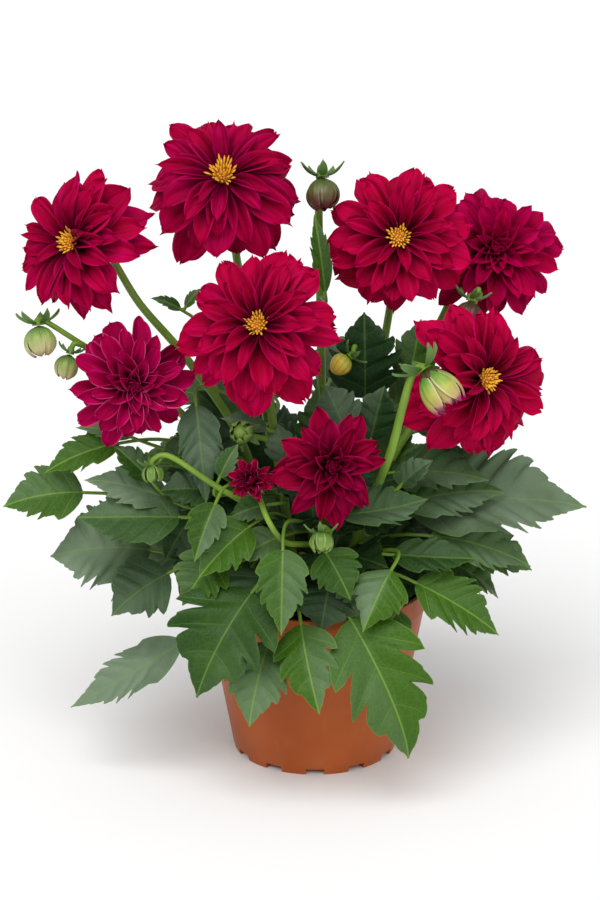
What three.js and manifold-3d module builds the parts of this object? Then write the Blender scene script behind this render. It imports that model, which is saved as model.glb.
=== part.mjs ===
// A dahlia in a 14 cm grower's pot, as a three.js scene graph.
// Millimetres, +Z up, the origin under the middle of the pot; the side that faces the viewer is -Y.
import * as THREE from "three";
import { mergeVertices } from "three/addons/utils/BufferGeometryUtils.js";
import Module from "manifold-3d";

const wasm = await Module();
wasm.setup();

// Pot
const RIM_RADIUS = 70;
const LIP_STEP = 2.2;
const LIP_HEIGHT = 13;
const POT_HEIGHT = 108;
const WALL = 1.9;
const FOOT_RADIUS = 50.2;
const FOOT_WIDTH = 5.5;
const FOOT_HEIGHT = 4.5;
const FLOOR = 2.4;
const CENTRE_PAD_RADIUS = 10;
const POT_SIDES = 30;
const NOTCHES = 12;
const NOTCH_WIDTH = 11;
const DRAIN_HOLES = 6;
const DRAIN_RADIUS = 3.5;
const DRAIN_CIRCLE = 29;

// Soil and what stands in it
const CLEAR = 0.35;
const SOIL_TOP = 93;
const SOIL_CROWN = 2.5;
const STEM_CIRCLE = 20;
const STEM_FOOT = 64;
const STEM_RADIUS = 3.1;
const STALK_RADIUS = 2.1;
const TWIG_RADIUS = 1.5;
const STEM_SIDES = 5;

// Foliage shells: every leaf lies on one of a family of nested domes round the pot's axis
const SHELL_START = 25;
const SHELL_LOW = 112;
const SHELL_RISE = 110;
const SHELL_SLOPE = [18, 22];
const SHELL_BEND = [0.85, 0.6, 0.7];

// Leaves
const LEAF_THICK = 1.1;
const LEAF_FOLD = 0.16;
const PETIOLE_RADIUS = 1.35;
// A half leaf's outline: share of the length, share of the half width, teeth pointing forward
const LEAF_EDGE = [[0.1, 0.52], [0.4, 1.05], [0.43, 0.84], [0.7, 0.74], [0.73, 0.48]];
const LEAF_RIB = [0.3, 0.64];
// Leaves that reach out to the sides turn their upper faces towards the viewer by this much.
const LEAF_LEAN = 30;

// Blooms
const CORE_RADIUS = 7.2;
const CORE_BACK = 6;
const CORE_FRONT = 2;
const DISC_RADIUS = 5.2;
const PETAL_THICK = 1.1;
const CALYX_LENGTH = 8;
const STAMENS = 7;
const STAMEN_LENGTH = 7;

const radians = THREE.MathUtils.degToRad;
const STAMEN_LEAN = radians(24);
const { sin, cos, PI, max, min, pow, hypot } = Math;

// Solids

// A closed mesh with merged corners as a manifold-3d solid.
function solidOf(geometry) {
  const bare = geometry.clone();
  bare.deleteAttribute("normal");
  bare.deleteAttribute("uv");
  const merged = mergeVertices(bare, 1e-4);
  return new wasm.Manifold(
    new wasm.Mesh({
      numProp: 3,
      vertProperties: merged.attributes.position.array,
      triVerts: new Uint32Array(merged.index.array),
    }),
  );
}

function solidFromFaces(points, faces) {
  const geometry = new THREE.BufferGeometry();
  geometry.setAttribute(
    "position",
    new THREE.Float32BufferAttribute(points.flatMap((p) => [p.x, p.y, p.z]), 3),
  );
  geometry.setIndex(faces.flat());
  const made = solidOf(geometry);
  if (made.volume() >= 0) return made;
  geometry.setIndex(faces.flatMap(([a, b, c]) => [a, c, b]));
  return solidOf(geometry);
}

function lathe(profile, sides) {
  const points = profile.map(([r, z]) => new THREE.Vector2(r, z));
  return solidOf(new THREE.LatheGeometry(points, sides).rotateX(PI / 2));
}

function placed(geometry, x, y, z, turn = 0) {
  return solidOf(geometry.rotateZ(turn).translate(x, y, z));
}

// The largest body of a union, tidied of the slivers that fusing leaves.
function fused(solids) {
  const whole = wasm.Manifold.union(solids).simplify(0.05);
  const bodies = whole.decompose().sort((a, b) => b.volume() - a.volume());
  return bodies[0];
}

function geometryOf(solid) {
  const { vertProperties, triVerts, numProp } = solid.getMesh();
  const position = new THREE.BufferAttribute(new Float32Array(vertProperties), numProp);
  const geometry = new THREE.BufferGeometry().setAttribute("position", position);
  return geometry.setIndex(new THREE.BufferAttribute(new Uint32Array(triVerts), 1));
}

// Curves and tubes

const vector = ([x, y, z]) => new THREE.Vector3(x, y, z);
const along = (point, direction, distance) => point.clone().addScaledVector(direction, distance);

// A smooth line through the points, with `steps` pieces between each pair.
function smoothPath(points, steps) {
  const line = [];
  const last = points.length - 1;
  for (let i = 0; i < last; i++) {
    const around = [points[max(i - 1, 0)], points[i], points[i + 1], points[min(i + 2, last)]];
    for (let k = 0; k < steps; k++) {
      const u = k / steps;
      const weights = [
        ((2 - u) * u - 1) * u * 0.5,
        ((3 * u - 5) * u * u + 2) * 0.5,
        ((4 - 3 * u) * u + 1) * u * 0.5,
        (u - 1) * u * u * 0.5,
      ];
      const p = new THREE.Vector3();
      around.forEach((q, n) => p.addScaledVector(q, weights[n]));
      line.push(p);
    }
  }
  return [...line, points[last].clone()];
}

// A closed tube along a line, its radius going from one end's to the other's.
function tube(line, startRadius, endRadius, sides = STEM_SIDES) {
  const points = [];
  const faces = [];
  const last = line.length - 1;
  let across = null;
  line.forEach((p, i) => {
    const tangent = line[min(i + 1, last)].clone().sub(line[max(i - 1, 0)]).normalize();
    const steep = Math.abs(tangent.z) > 0.7;
    const guess = across ?? (steep ? new THREE.Vector3(1, 0, 0) : new THREE.Vector3(0, 0, 1));
    across = guess.clone().addScaledVector(tangent, -guess.dot(tangent)).normalize();
    const other = tangent.clone().cross(across);
    const radius = startRadius + ((endRadius - startRadius) * i) / last;
    for (let k = 0; k < sides; k++) {
      const angle = (2 * PI * k) / sides;
      points.push(along(along(p, across, radius * cos(angle)), other, radius * sin(angle)));
    }
  });
  for (let i = 0; i < last; i++) {
    for (let k = 0; k < sides; k++) {
      const [a, b] = [i * sides + k, i * sides + ((k + 1) % sides)];
      faces.push([a, b, b + sides], [a, b + sides, a + sides]);
    }
  }
  for (let k = 1; k < sides - 1; k++) {
    faces.push([0, k + 1, k], [last * sides, last * sides + k, last * sides + k + 1]);
  }
  return solidFromFaces(points, faces);
}

// Blades

// A petal or bract: a flat-sided blade that runs from the point `base` over rows across its rib to `tip`.
function blade(base, rows, tip) {
  const points = [base];
  rows.forEach(({ centre, across, normal, half, lift, thick }) => {
    points.push(
      along(along(centre, across, -half), normal, lift),
      along(centre, normal, thick / 2),
      along(along(centre, across, half), normal, lift),
      along(centre, normal, -thick / 2),
    );
  });
  points.push(tip);
  const end = points.length - 1;
  const faces = [[0, 2, 1], [0, 3, 2], [0, 4, 3], [0, 1, 4]];
  for (let o = 1; o < end - 4; o += 4) {
    const [l, t, r, b] = [o, o + 1, o + 2, o + 3];
    faces.push([l, t, t + 4], [l, t + 4, l + 4], [t, r, r + 4], [t, r + 4, t + 4]);
    faces.push([r, b, r + 4], [b, b + 4, r + 4], [b, l, b + 4], [l, l + 4, b + 4]);
  }
  const [l, t, r, b] = [end - 4, end - 3, end - 2, end - 1];
  faces.push([l, t, end], [t, r, end], [r, b, end], [b, l, end]);
  return solidFromFaces(points, faces);
}

// A point on a foliage shell, with its outward slope. tier 0 is the lowest dome and 1 the highest.
function shellPoint(tier, distance, azimuth) {
  const start = radians(SHELL_SLOPE[0] + SHELL_SLOPE[1] * tier);
  const bend = radians(SHELL_BEND[0] - SHELL_BEND[1] * pow(max(tier, 0), SHELL_BEND[2]));
  const slope = start - bend * distance;
  const r = SHELL_START + (sin(start) - sin(slope)) / bend;
  const z = SHELL_LOW + SHELL_RISE * tier + (cos(slope) - cos(start)) / bend;
  const a = radians(azimuth);
  return {
    point: new THREE.Vector3(r * cos(a), r * sin(a), z),
    normal: new THREE.Vector3(-sin(slope) * cos(a), -sin(slope) * sin(a), cos(slope)),
  };
}

// The rib of a leaf. Most run between two places on the shells, given as [tier, distance, azimuth].
// A few hang free, from a point `base` to a point `tip`, with their faces to the viewer's side.
const FREE_FACE = new THREE.Vector3(0, -0.72, 0.7);
const FREE_BULGE = 0.12;

function ribPoint({ from, to, base, tip, bulge = FREE_BULGE }, u) {
  if (base) {
    const [a, b] = [vector(base), vector(tip)];
    const rise = 4 * u * (1 - u) * bulge * a.distanceTo(b);
    return { point: a.lerp(b, u).addScaledVector(FREE_FACE, rise), normal: FREE_FACE.clone() };
  }
  const [tier, distance, azimuth] = from.map((v, i) => v + (to[i] - v) * u);
  return shellPoint(tier, distance, azimuth);
}

function ribFrame(leaf, u) {
  const { point, normal } = ribPoint(leaf, u);
  const tangent = ribPoint(leaf, u + 0.02).point.sub(ribPoint(leaf, u - 0.02).point).normalize();
  const side = tangent.clone().cross(normal).normalize();
  const turn = (leaf.base ? 0 : LEAF_LEAN * tangent.x) + (leaf.roll ?? 0);
  const up = side.clone().cross(tangent).applyAxisAngle(tangent, radians(turn));
  return { point, tangent, up, side: tangent.clone().cross(up) };
}

// A leaf with its stalk, which starts inside the stem at `root`, as one closed shape. The stalk is a
// three-sided rod; its last section is the blade's base, and the edges carry the teeth of LEAF_EDGE.
function leafWithStalk(leaf, root) {
  const half = leaf.width / 2;
  const base = ribFrame(leaf, 0);
  const bend = along(base.point, base.tangent, -base.point.distanceTo(root) * 0.35);
  const stalk = [[root, bend], [bend, base.point], [base.point, along(base.point, base.tangent, 1)]];
  const points = stalk.flatMap(([from, to], i) => {
    const way = to.clone().sub(from).normalize();
    const up = base.side.clone().cross(way).normalize();
    const side = way.clone().cross(up);
    const size = PETIOLE_RADIUS * (1 - 0.15 * i);
    return [along(from, side, -size), along(from, side, size), along(from, up, -size * 1.3)];
  });
  [-1, 1].forEach((hand) =>
    LEAF_EDGE.forEach(([u, w]) => {
      const { point, up, side } = ribFrame(leaf, u);
      points.push(along(along(point, side, hand * w * half), up, LEAF_FOLD * w * half));
    }),
  );
  [1, -1].forEach((face) =>
    LEAF_RIB.forEach((u) => {
      const { point, up } = ribFrame(leaf, u);
      points.push(along(point, up, (face * LEAF_THICK) / 2));
    }),
  );
  points.push(ribFrame(leaf, 1).point);

  const [left, right, under, n, m] = [6, 7, 8, LEAF_EDGE.length, LEAF_RIB.length];
  const edge = (hand, k) => 9 + hand * n + k;
  const rib = (face, k) => 9 + 2 * n + face * m + k;
  const tip = points.length - 1;
  const faces = [
    [0, 2, 1], [left, right, rib(0, 0)], [left, edge(0, 0), under], [right, under, edge(1, 0)],
  ];
  [0, 3].forEach((o) =>
    [[o, o + 1], [o + 1, o + 2], [o + 2, o]].forEach(([a, b]) =>
      faces.push([a, b, b + 3], [a, b + 3, a + 3]),
    ),
  );
  [0, 1].forEach((hand) =>
    [0, 1].forEach((face) => {
      const start = face ? under : [left, right][hand];
      const [e, r] = [(k) => edge(hand, k), (k) => rib(face, k)];
      const strip = [
        [start, e(0), r(0)], [e(0), e(1), r(0)], [e(1), e(2), r(0)], [r(0), e(2), r(1)],
        [e(2), e(3), r(1)], [e(3), e(4), r(1)], [r(1), e(4), tip],
      ];
      faces.push(...strip.map(([a, b, c]) => (hand === face ? [a, c, b] : [a, b, c])));
    }),
  );
  return solidFromFaces(points, faces);
}

// Blooms and buds

// The direction a bloom faces: yaw from the viewer's side towards +X, pitch above the horizon.
function facing(yaw, pitch) {
  const [a, b] = [radians(yaw), radians(pitch)];
  return new THREE.Vector3(sin(a) * cos(b), -cos(a) * cos(b), sin(b));
}

function frameOf(direction) {
  const up = new THREE.Vector3(0, 0, 1);
  return new THREE.Quaternion().setFromUnitVectors(up, direction.clone().normalize());
}

// One petal, in the bloom's own frame: its slope goes from `open`[0] at the root to `open`[1] at the tip.
function petal(azimuth, { root, level, length, width, open, cup, shape }) {
  const flat = new THREE.Vector3(cos(azimuth), sin(azimuth), 0);
  const across = new THREE.Vector3(-sin(azimuth), cos(azimuth), 0);
  const slopeAt = (u) => radians(open[0] + (open[1] - open[0]) * u);
  const centreAt = (u) => {
    const pieces = 6;
    let [r, z] = [root, level];
    for (let k = 0; k < pieces; k++) {
      const slope = slopeAt((u * (k + 0.5)) / pieces);
      r += (cos(slope) * length * u) / pieces;
      z += (sin(slope) * length * u) / pieces;
    }
    return flat.clone().multiplyScalar(r).setZ(z);
  };
  const rows = shape.map(([u, w]) => {
    const normal = flat.clone().multiplyScalar(-sin(slopeAt(u))).setZ(cos(slopeAt(u)));
    const half = (w * width) / 2;
    return { centre: centreAt(u), across, normal, half, lift: half * cup, thick: PETAL_THICK };
  });
  return blade(centreAt(0), rows, centreAt(1));
}

const BROAD = [[0.45, 0.96], [0.84, 0.86]];
const TAPERED = [[0.45, 0.98], [0.8, 0.76]];
const SPOON = [[0.4, 0.85], [0.78, 0.9]];
const POINTED = [[0.4, 1.0], [0.72, 0.8]];
const SMALL = [[0.55, 1.0]];

// How the petals change from the outermost to the innermost. Lengths and widths are shares of the
// bloom's radius, slopes are degrees above the disc's plane, and they follow one another in a spiral.
const OPEN = {
  count: 26, length: [1.08, 0.62], width: [0.54, 0.28], rise: [-6, 54], curl: [50, 42], cup: [0.08, 0.5],
};
const FORMS = {
  open: { ...OPEN, ease: 1, shape: BROAD },
  loose: { ...OPEN, ease: 1, shape: TAPERED },
  full: {
    count: 28, length: [1.1, 0.46], width: [0.42, 0.26], rise: [-8, 80], curl: [44, 18],
    cup: [0.4, 0.6], ease: 1.2, shape: SPOON,
  },
  star: {
    count: 22, length: [1.02, 0.42], width: [0.5, 0.28], rise: [0, 82], curl: [40, 14],
    cup: [0.25, 0.6], ease: 1.2, shape: POINTED,
  },
  tuft: {
    count: 10, length: [0.98, 0.8], width: [0.55, 0.4], rise: [24, 84], curl: [34, 14],
    cup: [0.4, 0.4], ease: 1, shape: SMALL,
  },
};
const GOLDEN_ANGLE = 137.5;
const INNER_SHARE = 0.58;

function petals({ form, radius, droop = 0 }, seed) {
  const { count, length, width, rise, curl, cup, ease, shape } = FORMS[form];
  const small = form === "tuft" ? 0.5 : 1;
  const core = lathe(
    [[0, -CORE_BACK * small], [CORE_RADIUS * 0.7 * small, -CORE_BACK * small],
      [CORE_RADIUS * small, CORE_FRONT * small], [0, CORE_FRONT * small]],
    6,
  );
  const solids = [core];
  for (let k = 0; k < count; k++) {
    const t = pow(k / (count - 1), ease);
    const between = ([a, b]) => a + (b - a) * t;
    const slope = between(rise) - droop + 3 * sin(7 * k + seed);
    solids.push(
      petal(radians(GOLDEN_ANGLE * k + 40 * seed), {
        root: between([3.4, 4.6]) * small,
        level: between([-CORE_BACK + 2, 0.4]) * small,
        length: between(length) * radius * (1 + 0.05 * sin(5 * k + seed)),
        width: between(width) * radius,
        open: [slope, slope - between(curl)],
        cup: between(cup),
        shape: t > INNER_SHARE ? SMALL : shape,
      }),
    );
  }
  return fused(solids);
}

// The yellow florets: a low dome with three-sided stamens standing out of it.
function florets() {
  const low = CORE_FRONT + CLEAR;
  const solids = [lathe([[0, low], [DISC_RADIUS * 0.9, low], [0, low + 2.4]], 7)];
  for (let k = 0; k < STAMENS; k++) {
    const a = (2 * PI * (k + 0.5)) / STAMENS;
    const out = new THREE.Vector3(cos(a), sin(a), 0);
    const foot = out.clone().multiplyScalar(DISC_RADIUS * 0.6).setZ(low + 0.5);
    const way = out.multiplyScalar(sin(STAMEN_LEAN)).setZ(cos(STAMEN_LEAN));
    solids.push(tube([foot, along(foot, way, STAMEN_LENGTH)], 0.8, 0.5, 3));
  }
  return fused(solids);
}

// The green cup behind a bloom, with its bent-back bracts, from the stalk's end at -CALYX_LENGTH.
function calyx(small, count = 5) {
  const back = -CORE_BACK * small - CLEAR;
  const solids = [
    lathe([[0, back - CALYX_LENGTH * small], [STALK_RADIUS * 1.1, back - CALYX_LENGTH * small],
      [CORE_RADIUS * 0.66 * small, back], [0, back]], 6),
  ];
  for (let k = 0; k < count; k++) {
    const bract = {
      root: 2 * small, level: back - 2.5, length: 14 * small, width: 7 * small,
      open: [-50, -20], cup: 0.1, shape: SMALL,
    };
    solids.push(petal((2 * PI * k) / count, bract));
  }
  return solids;
}

// A closed bud: a ribbed egg whose base is at the origin and whose point is along +Z.
function budBody(radius, length, sides = 10, start = CLEAR) {
  const profile = [[0.45, 0.04], [0.95, 0.3], [0.92, 0.62], [0.45, 0.92]];
  const points = [new THREE.Vector3(0, 0, start)];
  profile.forEach(([r, z]) => {
    for (let k = 0; k < sides; k++) {
      const a = (2 * PI * k) / sides;
      const rib = radius * r * (k % 2 ? 0.92 : 1.04);
      points.push(new THREE.Vector3(rib * cos(a), rib * sin(a), start + length * z));
    }
  });
  points.push(new THREE.Vector3(0, 0, length));
  const faces = [];
  const end = points.length - 1;
  for (let k = 0; k < sides; k++) {
    const next = (k + 1) % sides;
    faces.push([0, 1 + next, 1 + k]);
    for (let i = 0; i < profile.length - 1; i++) {
      const [a, b] = [1 + i * sides + k, 1 + i * sides + next];
      faces.push([a, b, b + sides], [a, b + sides, a + sides]);
    }
    faces.push([end - sides + k, end - sides + next, end]);
  }
  return solidFromFaces(points, faces);
}

// An opening bud: pointed lobes standing close round a slim core.
function openingBud(radius, length) {
  const solids = [budBody(radius * 0.8, length * 0.86, 6)];
  for (let k = 0; k < 6; k++) {
    const lobe = {
      root: radius * 0.3, level: CLEAR + 2, length: 0.98 * length, width: 0.42 * length,
      open: [52, 106], cup: 0.3, shape: SMALL,
    };
    solids.push(petal((2 * PI * k) / 6, lobe));
  }
  return fused(solids);
}

// The bracts that spread behind a bud.
function bracts(radius, count) {
  return Array.from({ length: count }, (_, k) => {
    const bract = {
      root: 1.2, level: -1, length: radius * 1.5, width: radius * 0.7,
      open: [-12, -52], cup: 0.15, shape: SMALL,
    };
    return petal((2 * PI * (k + 0.3)) / count, bract);
  });
}

// What a shoot holds of a bud: a knob at the stalk's end with bracts, or a small green bud as a whole.
function budHolder({ radius, length, green }) {
  if (green) return [budBody(radius, length, 6, -2), ...bracts(radius, 4)];
  return [lathe([[0, -4], [STALK_RADIUS, -4], [radius * 0.42, 0], [0, 0]], 6), ...bracts(radius, 5)];
}

// The layout, by hand

// Blooms: the middle of the face, where it looks, its radius, its form and its shoot.
const BLOOMS = [
  { name: "bloom_left", at: [-140, -25, 325], yaw: -36, pitch: 21, radius: 45, form: "loose", disc: true },
  {
    name: "bloom_top_left", at: [-54, -4, 359], yaw: -3, pitch: 40, radius: 52, droop: 14,
    form: "loose", disc: true,
  },
  { name: "bloom_top_right", at: [49, 1, 322], yaw: -2, pitch: 24, radius: 45, form: "open", disc: true },
  { name: "bloom_far_right", at: [109, 41, 305], yaw: 5, pitch: 24, radius: 43, form: "full", disc: false },
  { name: "bloom_middle", at: [-33, -57, 284], yaw: -12, pitch: 30, radius: 49, form: "open", disc: true },
  { name: "bloom_low_left", at: [-106, -49, 247], yaw: 10, pitch: 6, radius: 37, form: "full", disc: false },
  { name: "bloom_right", at: [97, -45, 249], yaw: 30, pitch: 15, radius: 49, form: "open", disc: true },
  { name: "bloom_low_middle", at: [8, -84, 209], yaw: 7, pitch: 14, radius: 35, form: "star", disc: false },
  { name: "bloom_young", at: [-37, -82, 199], yaw: -10, pitch: 30, radius: 13, form: "tuft", disc: false },
];

// Buds: the base of the egg, where it points, its radius and length. Green ones are one with their stem.
const BUDS = [
  { name: "bud_left", at: [-161, -32, 278], way: [0.12, -0.3, -0.95], radius: 10, length: 19 },
  { name: "bud_left_small", at: [-144, -26, 259], way: [-0.25, -0.2, -0.95], radius: 6, length: 15 },
  { name: "bud_top", at: [4, 8, 357], way: [0.02, -0.35, -0.94], radius: 10, length: 20, dark: true },
  {
    name: "bud_opening", at: [61, -79, 264], way: [0.6, -0.35, -0.72], radius: 12, length: 27,
    opening: true,
  },
  { name: "bud_yellow", at: [20, -8, 252], way: [-0.75, -0.3, -0.6], radius: 6.5, length: 14 },
  { name: "bud_dark", at: [92, -2, 285], way: [-0.2, -0.3, -0.93], radius: 8, length: 16, dark: true },
  { name: "green_left", at: [-95, -60, 200], way: [0.1, -0.2, -1], radius: 5, length: 9, green: true },
  { name: "green_middle", at: [-42, -44, 216], way: [-0.3, -0.8, 0.4], radius: 6, length: 10, green: true },
  { name: "green_low", at: [3, -99, 172], way: [0, -0.5, -0.8], radius: 6, length: 10, green: true },
];

const SHOOTS = [
  {
    name: "shoot_left", azimuth: 178, bloom: "bloom_left",
    path: [[-30, 0, 150], [-48, -2, 205], [-78, -5, 252], [-104, -5, 284]],
    leaves: [
      { base: [-99, -19, 134], tip: [-161, -8, 126], width: 60 },
      { base: [-140, -5, 166], tip: [-189, -5, 157], width: 38 },
      { base: [-117, -10, 199], tip: [-163, -10, 180], width: 24 },
      { base: [-110, -8, 202], tip: [-144, -5, 207], width: 13 },
      { from: [0.12, 52, 180], to: [0.14, 118, 176], width: 44 },
      { from: [0.44, 44, 166], to: [0.44, 108, 158], width: 40 },
      { base: [-79, -9, 281], tip: [-97, -12, 289], width: 8 },
    ],
  },
  {
    name: "shoot_low_left", azimuth: 210, bloom: "bloom_low_left",
    path: [[-30, -18, 145], [-55, -20, 192], [-88, -12, 226]],
    twigs: [
      {
        from: [-88, -12, 226],
        path: [[-114, -13, 246], [-136, -22, 263], [-156, -30, 279]],
        bud: "bud_left",
      },
      { from: [-136, -22, 263], path: [[-141, -25, 265]], bud: "bud_left_small" },
    ],
    leaves: [
      { base: [-78, -60, 92], tip: [-148, -44, 42], width: 30, stem: 140, bulge: -0.03 },
      { from: [0.18, 74, 206], to: [0.22, 121, 204], width: 46 },
      { from: [0.4, 70, 212], to: [0.5, 128, 197], width: 40 },
      { base: [-86, -34, 173], tip: [-137, -25, 183], width: 30 },
      { base: [-97, -42, 186], tip: [-119, -40, 207], width: 18 },
      { from: [0.62, 36, 205], to: [0.6, 84, 202], width: 34 },
    ],
  },
  {
    name: "shoot_middle", azimuth: 243, bloom: "bloom_middle",
    path: [[-16, -26, 150], [-24, -24, 205], [-28, -18, 245]],
    twigs: [
      {
        from: [-16, -26, 150],
        path: [[-40, -50, 174], [-60, -60, 190], [-84, -61, 207], [-94, -60, 205]],
        bud: "green_left",
      },
      { from: [-24, -24, 205], path: [[-36, -38, 212]], bud: "green_middle" },
    ],
    leaves: [
      { from: [0.15, 60, 244], to: [0.06, 118, 235], width: 66 },
      { from: [0.0, 66, 252], to: [0.0, 118, 250], width: 38 },
      { base: [-38, -68, 167], tip: [-68, -80, 139], width: 32 },
      { base: [-58, -68, 181], tip: [-70, -85, 151], width: 22 },
      { base: [-30, -60, 136], tip: [-42, -80, 106], width: 42 },
      { base: [-70, -38, 232], tip: [-64, -54, 175], width: 26 },
      { base: [-56, -58, 193], tip: [-45, -52, 212], width: 12 },
      { base: [-28, -34, 215], tip: [-56, -38, 223], width: 12 },
      { base: [-27, -62, 178], tip: [-52, -66, 170], width: 16 },
      { base: [-58, -62, 146], tip: [-78, -72, 119], width: 34 },
      { base: [-60, -44, 180], tip: [-92, -44, 180], width: 26 },
      { base: [-19, -28, 192], tip: [-22, -26, 216], width: 20 },
    ],
  },
  {
    name: "shoot_low_middle", azimuth: 275, bloom: "bloom_low_middle",
    path: [[4, -30, 142], [6, -42, 178]],
    twigs: [
      {
        from: [4, -30, 142],
        path: [[-8, -58, 152], [-19, -80, 162], [-28, -86, 178]],
        bloom: "bloom_young",
      },
      { from: [4, -30, 142], path: [[8, -62, 160], [5, -88, 173], [3, -97, 175]], bud: "green_low" },
    ],
    leaves: [
      { from: [0.04, 60, 264], to: [0.02, 112, 271], width: 36 },
      { from: [0.05, 58, 284], to: [0.0, 142, 299], width: 56 },
      { base: [-19, -90, 161], tip: [-20, -106, 114], width: 30 },
      { from: [0.47, 58, 280], to: [0.5, 68, 316], width: 32 },
      { base: [5, -78, 155], tip: [20, -89, 129], width: 30 },
      { base: [8, -62, 128], tip: [3, -72, 104], width: 38 },
      { base: [-21, -62, 158], tip: [-48, -78, 147], width: 20 },
      { base: [17, -35, 215], tip: [5, -30, 241], width: 28 },
    ],
  },
  {
    name: "shoot_opening", azimuth: 308,
    path: [[22, -32, 140], [34, -55, 182], [43, -68, 212], [49, -74, 240], [54, -77, 260]],
    bud: "bud_opening",
    leaves: [
      { base: [44, -78, 144], tip: [27, -96, 112], width: 32 },
      { base: [28, -60, 134], tip: [34, -78, 106], width: 36 },
      { from: [0.15, 60, 314], to: [0.12, 110, 334], width: 36 },
      { from: [0.24, 48, 308], to: [0.27, 84, 333], width: 24 },
      { base: [49, -58, 111], tip: [35, -74, 92], width: 26 },
      { base: [50, -50, 186], tip: [68, -56, 203], width: 16 },
      { base: [33, -14, 202], tip: [41, -14, 236], width: 28 },
    ],
  },
  {
    name: "shoot_right", azimuth: 338, bloom: "bloom_right",
    path: [[30, -12, 150], [48, -14, 195], [68, -14, 225]],
    leaves: [
      { base: [68, -35, 149], tip: [130, -20, 124], width: 34 },
      { base: [56, -20, 160], tip: [165, 0, 155], width: 58 },
      { from: [0.08, 50, 0], to: [0.08, 100, 4], width: 42 },
      { base: [32, -2, 165], tip: [60, 0, 215], width: 30 },
      { from: [0.56, 30, 330], to: [0.54, 88, 338], width: 38 },
      { base: [94, -10, 134], tip: [133, 0, 114], width: 30 },
      { base: [68, -24, 180], tip: [95, -22, 198], width: 24 },
    ],
  },
  {
    name: "shoot_far_right", azimuth: 10, bloom: "bloom_far_right",
    path: [[32, 8, 150], [50, 20, 210], [78, 45, 262], [95, 62, 292]],
    twigs: [{ from: [50, 20, 210], path: [[70, 16, 245], [90, 11, 271], [97, 7, 289]], bud: "bud_dark" }],
    leaves: [
      { base: [56, 4, 230], tip: [63, 4, 272], width: 26 },
      { from: [0.2, 46, 12], to: [0.22, 116, 14], width: 46 },
      { from: [0.66, 40, 6], to: [0.68, 108, 10], width: 42 },
      { from: [0.8, 24, 14], to: [0.8, 84, 22], width: 34 },
    ],
  },
  {
    name: "shoot_top_right", azimuth: 42, bloom: "bloom_top_right",
    path: [[24, 20, 150], [34, 28, 205], [44, 34, 262]],
    twigs: [{ from: [34, 28, 205], path: [[30, 14, 236], [24, 0, 256]], bud: "bud_yellow" }],
    leaves: [
      { base: [30, 5, 222], tip: [29, 5, 276], width: 44 },
    ],
    whorlAt: 60, whorl: [0.1, 0.38, 0.68],
  },
  {
    name: "shoot_back", azimuth: 86,
    path: [[3, 32, 150], [4, 35, 215], [3, 31, 280], [2, 24, 335], [3, 14, 360]], bud: "bud_top",
    leaves: [
      { base: [6, 10, 286], tip: [-1, 4, 336], width: 12 },
      { base: [2, 8, 120], tip: [-4, 4, 168], width: 34 },
      { base: [6, 10, 176], tip: [2, 4, 232], width: 36 },
    ],
    whorlAt: 92, whorl: [0.03, 0.26, 0.52, 0.82],
  },
  {
    name: "shoot_top_left", azimuth: 130, bloom: "bloom_top_left",
    path: [[-20, 26, 150], [-32, 34, 215], [-44, 36, 280], [-50, 28, 322]],
    leaves: [
      { base: [-27, 23, 150], tip: [-50, 24, 200], width: 34 },
      { base: [-34, 18, 205], tip: [-62, 14, 250], width: 34 },
    ],
    whorlAt: 130, whorl: [0.14, 0.4, 0.7],
  },
];

// The back shoots' leaves: a pair at each tier of the whorl, spread to either side by turns.
function whorlLeaves({ whorlAt, whorl = [] }) {
  return whorl.flatMap((tier, k) =>
    [-1, 1].map((hand) => {
      const turn = whorlAt + hand * (18 + 3 * sin(4 * k + hand));
      const start = 40 + 7 * sin(3 * k + hand + whorlAt);
      const length = 62 + 9 * sin(5 * k + 2 * hand);
      return {
        from: [tier, start, turn - hand * 3],
        to: [tier + 0.02 * hand, start + length, turn + hand * 4],
        width: 38 + 5 * sin(2 * k + hand),
        roll: hand * 6,
      };
    }),
  );
}

const byName = (list, name) => list.find((item) => item.name === name);

// A stalk's end: it comes up along the axis of what it carries.
function stalkEnd({ bloom, bud }) {
  if (bloom) {
    const { at, yaw, pitch, form } = byName(BLOOMS, bloom);
    const axis = facing(yaw, pitch);
    const small = form === "tuft" ? 0.5 : 1;
    const back = (CORE_BACK + CALYX_LENGTH) * small;
    return [along(vector(at), axis, -back - 18 * small), along(vector(at), axis, -back)];
  }
  const { at, way, green } = byName(BUDS, bud);
  return [along(vector(at), vector(way).normalize(), green ? 1 : -3)];
}

function headParts({ bloom, bud }) {
  if (bloom) {
    const { at, yaw, pitch, form } = byName(BLOOMS, bloom);
    const turn = frameOf(facing(yaw, pitch));
    return calyx(form === "tuft" ? 0.5 : 1).map((s) => turned(s, turn, at));
  }
  const held = byName(BUDS, bud);
  return budHolder(held).map((s) => turned(s, frameOf(vector(held.way)), held.at));
}

function turned(solid, quaternion, at) {
  const matrix = new THREE.Matrix4().compose(vector(at), quaternion, new THREE.Vector3(1, 1, 1));
  return solid.transform([...matrix.elements]);
}

const stemRoot = ({ azimuth }) =>
  [STEM_FOOT, SOIL_TOP + SOIL_CROWN].map(
    (z) => new THREE.Vector3(STEM_CIRCLE * cos(radians(azimuth)), STEM_CIRCLE * sin(radians(azimuth)), z),
  );

// The point of a line that lies nearest to a height, and not above it.
function nearestBelow(line, height) {
  const under = line.filter((p) => p.z <= height);
  return (under.length ? under : line.slice(2, 3)).reduce((a, b) => (b.z > a.z ? b : a));
}

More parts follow.
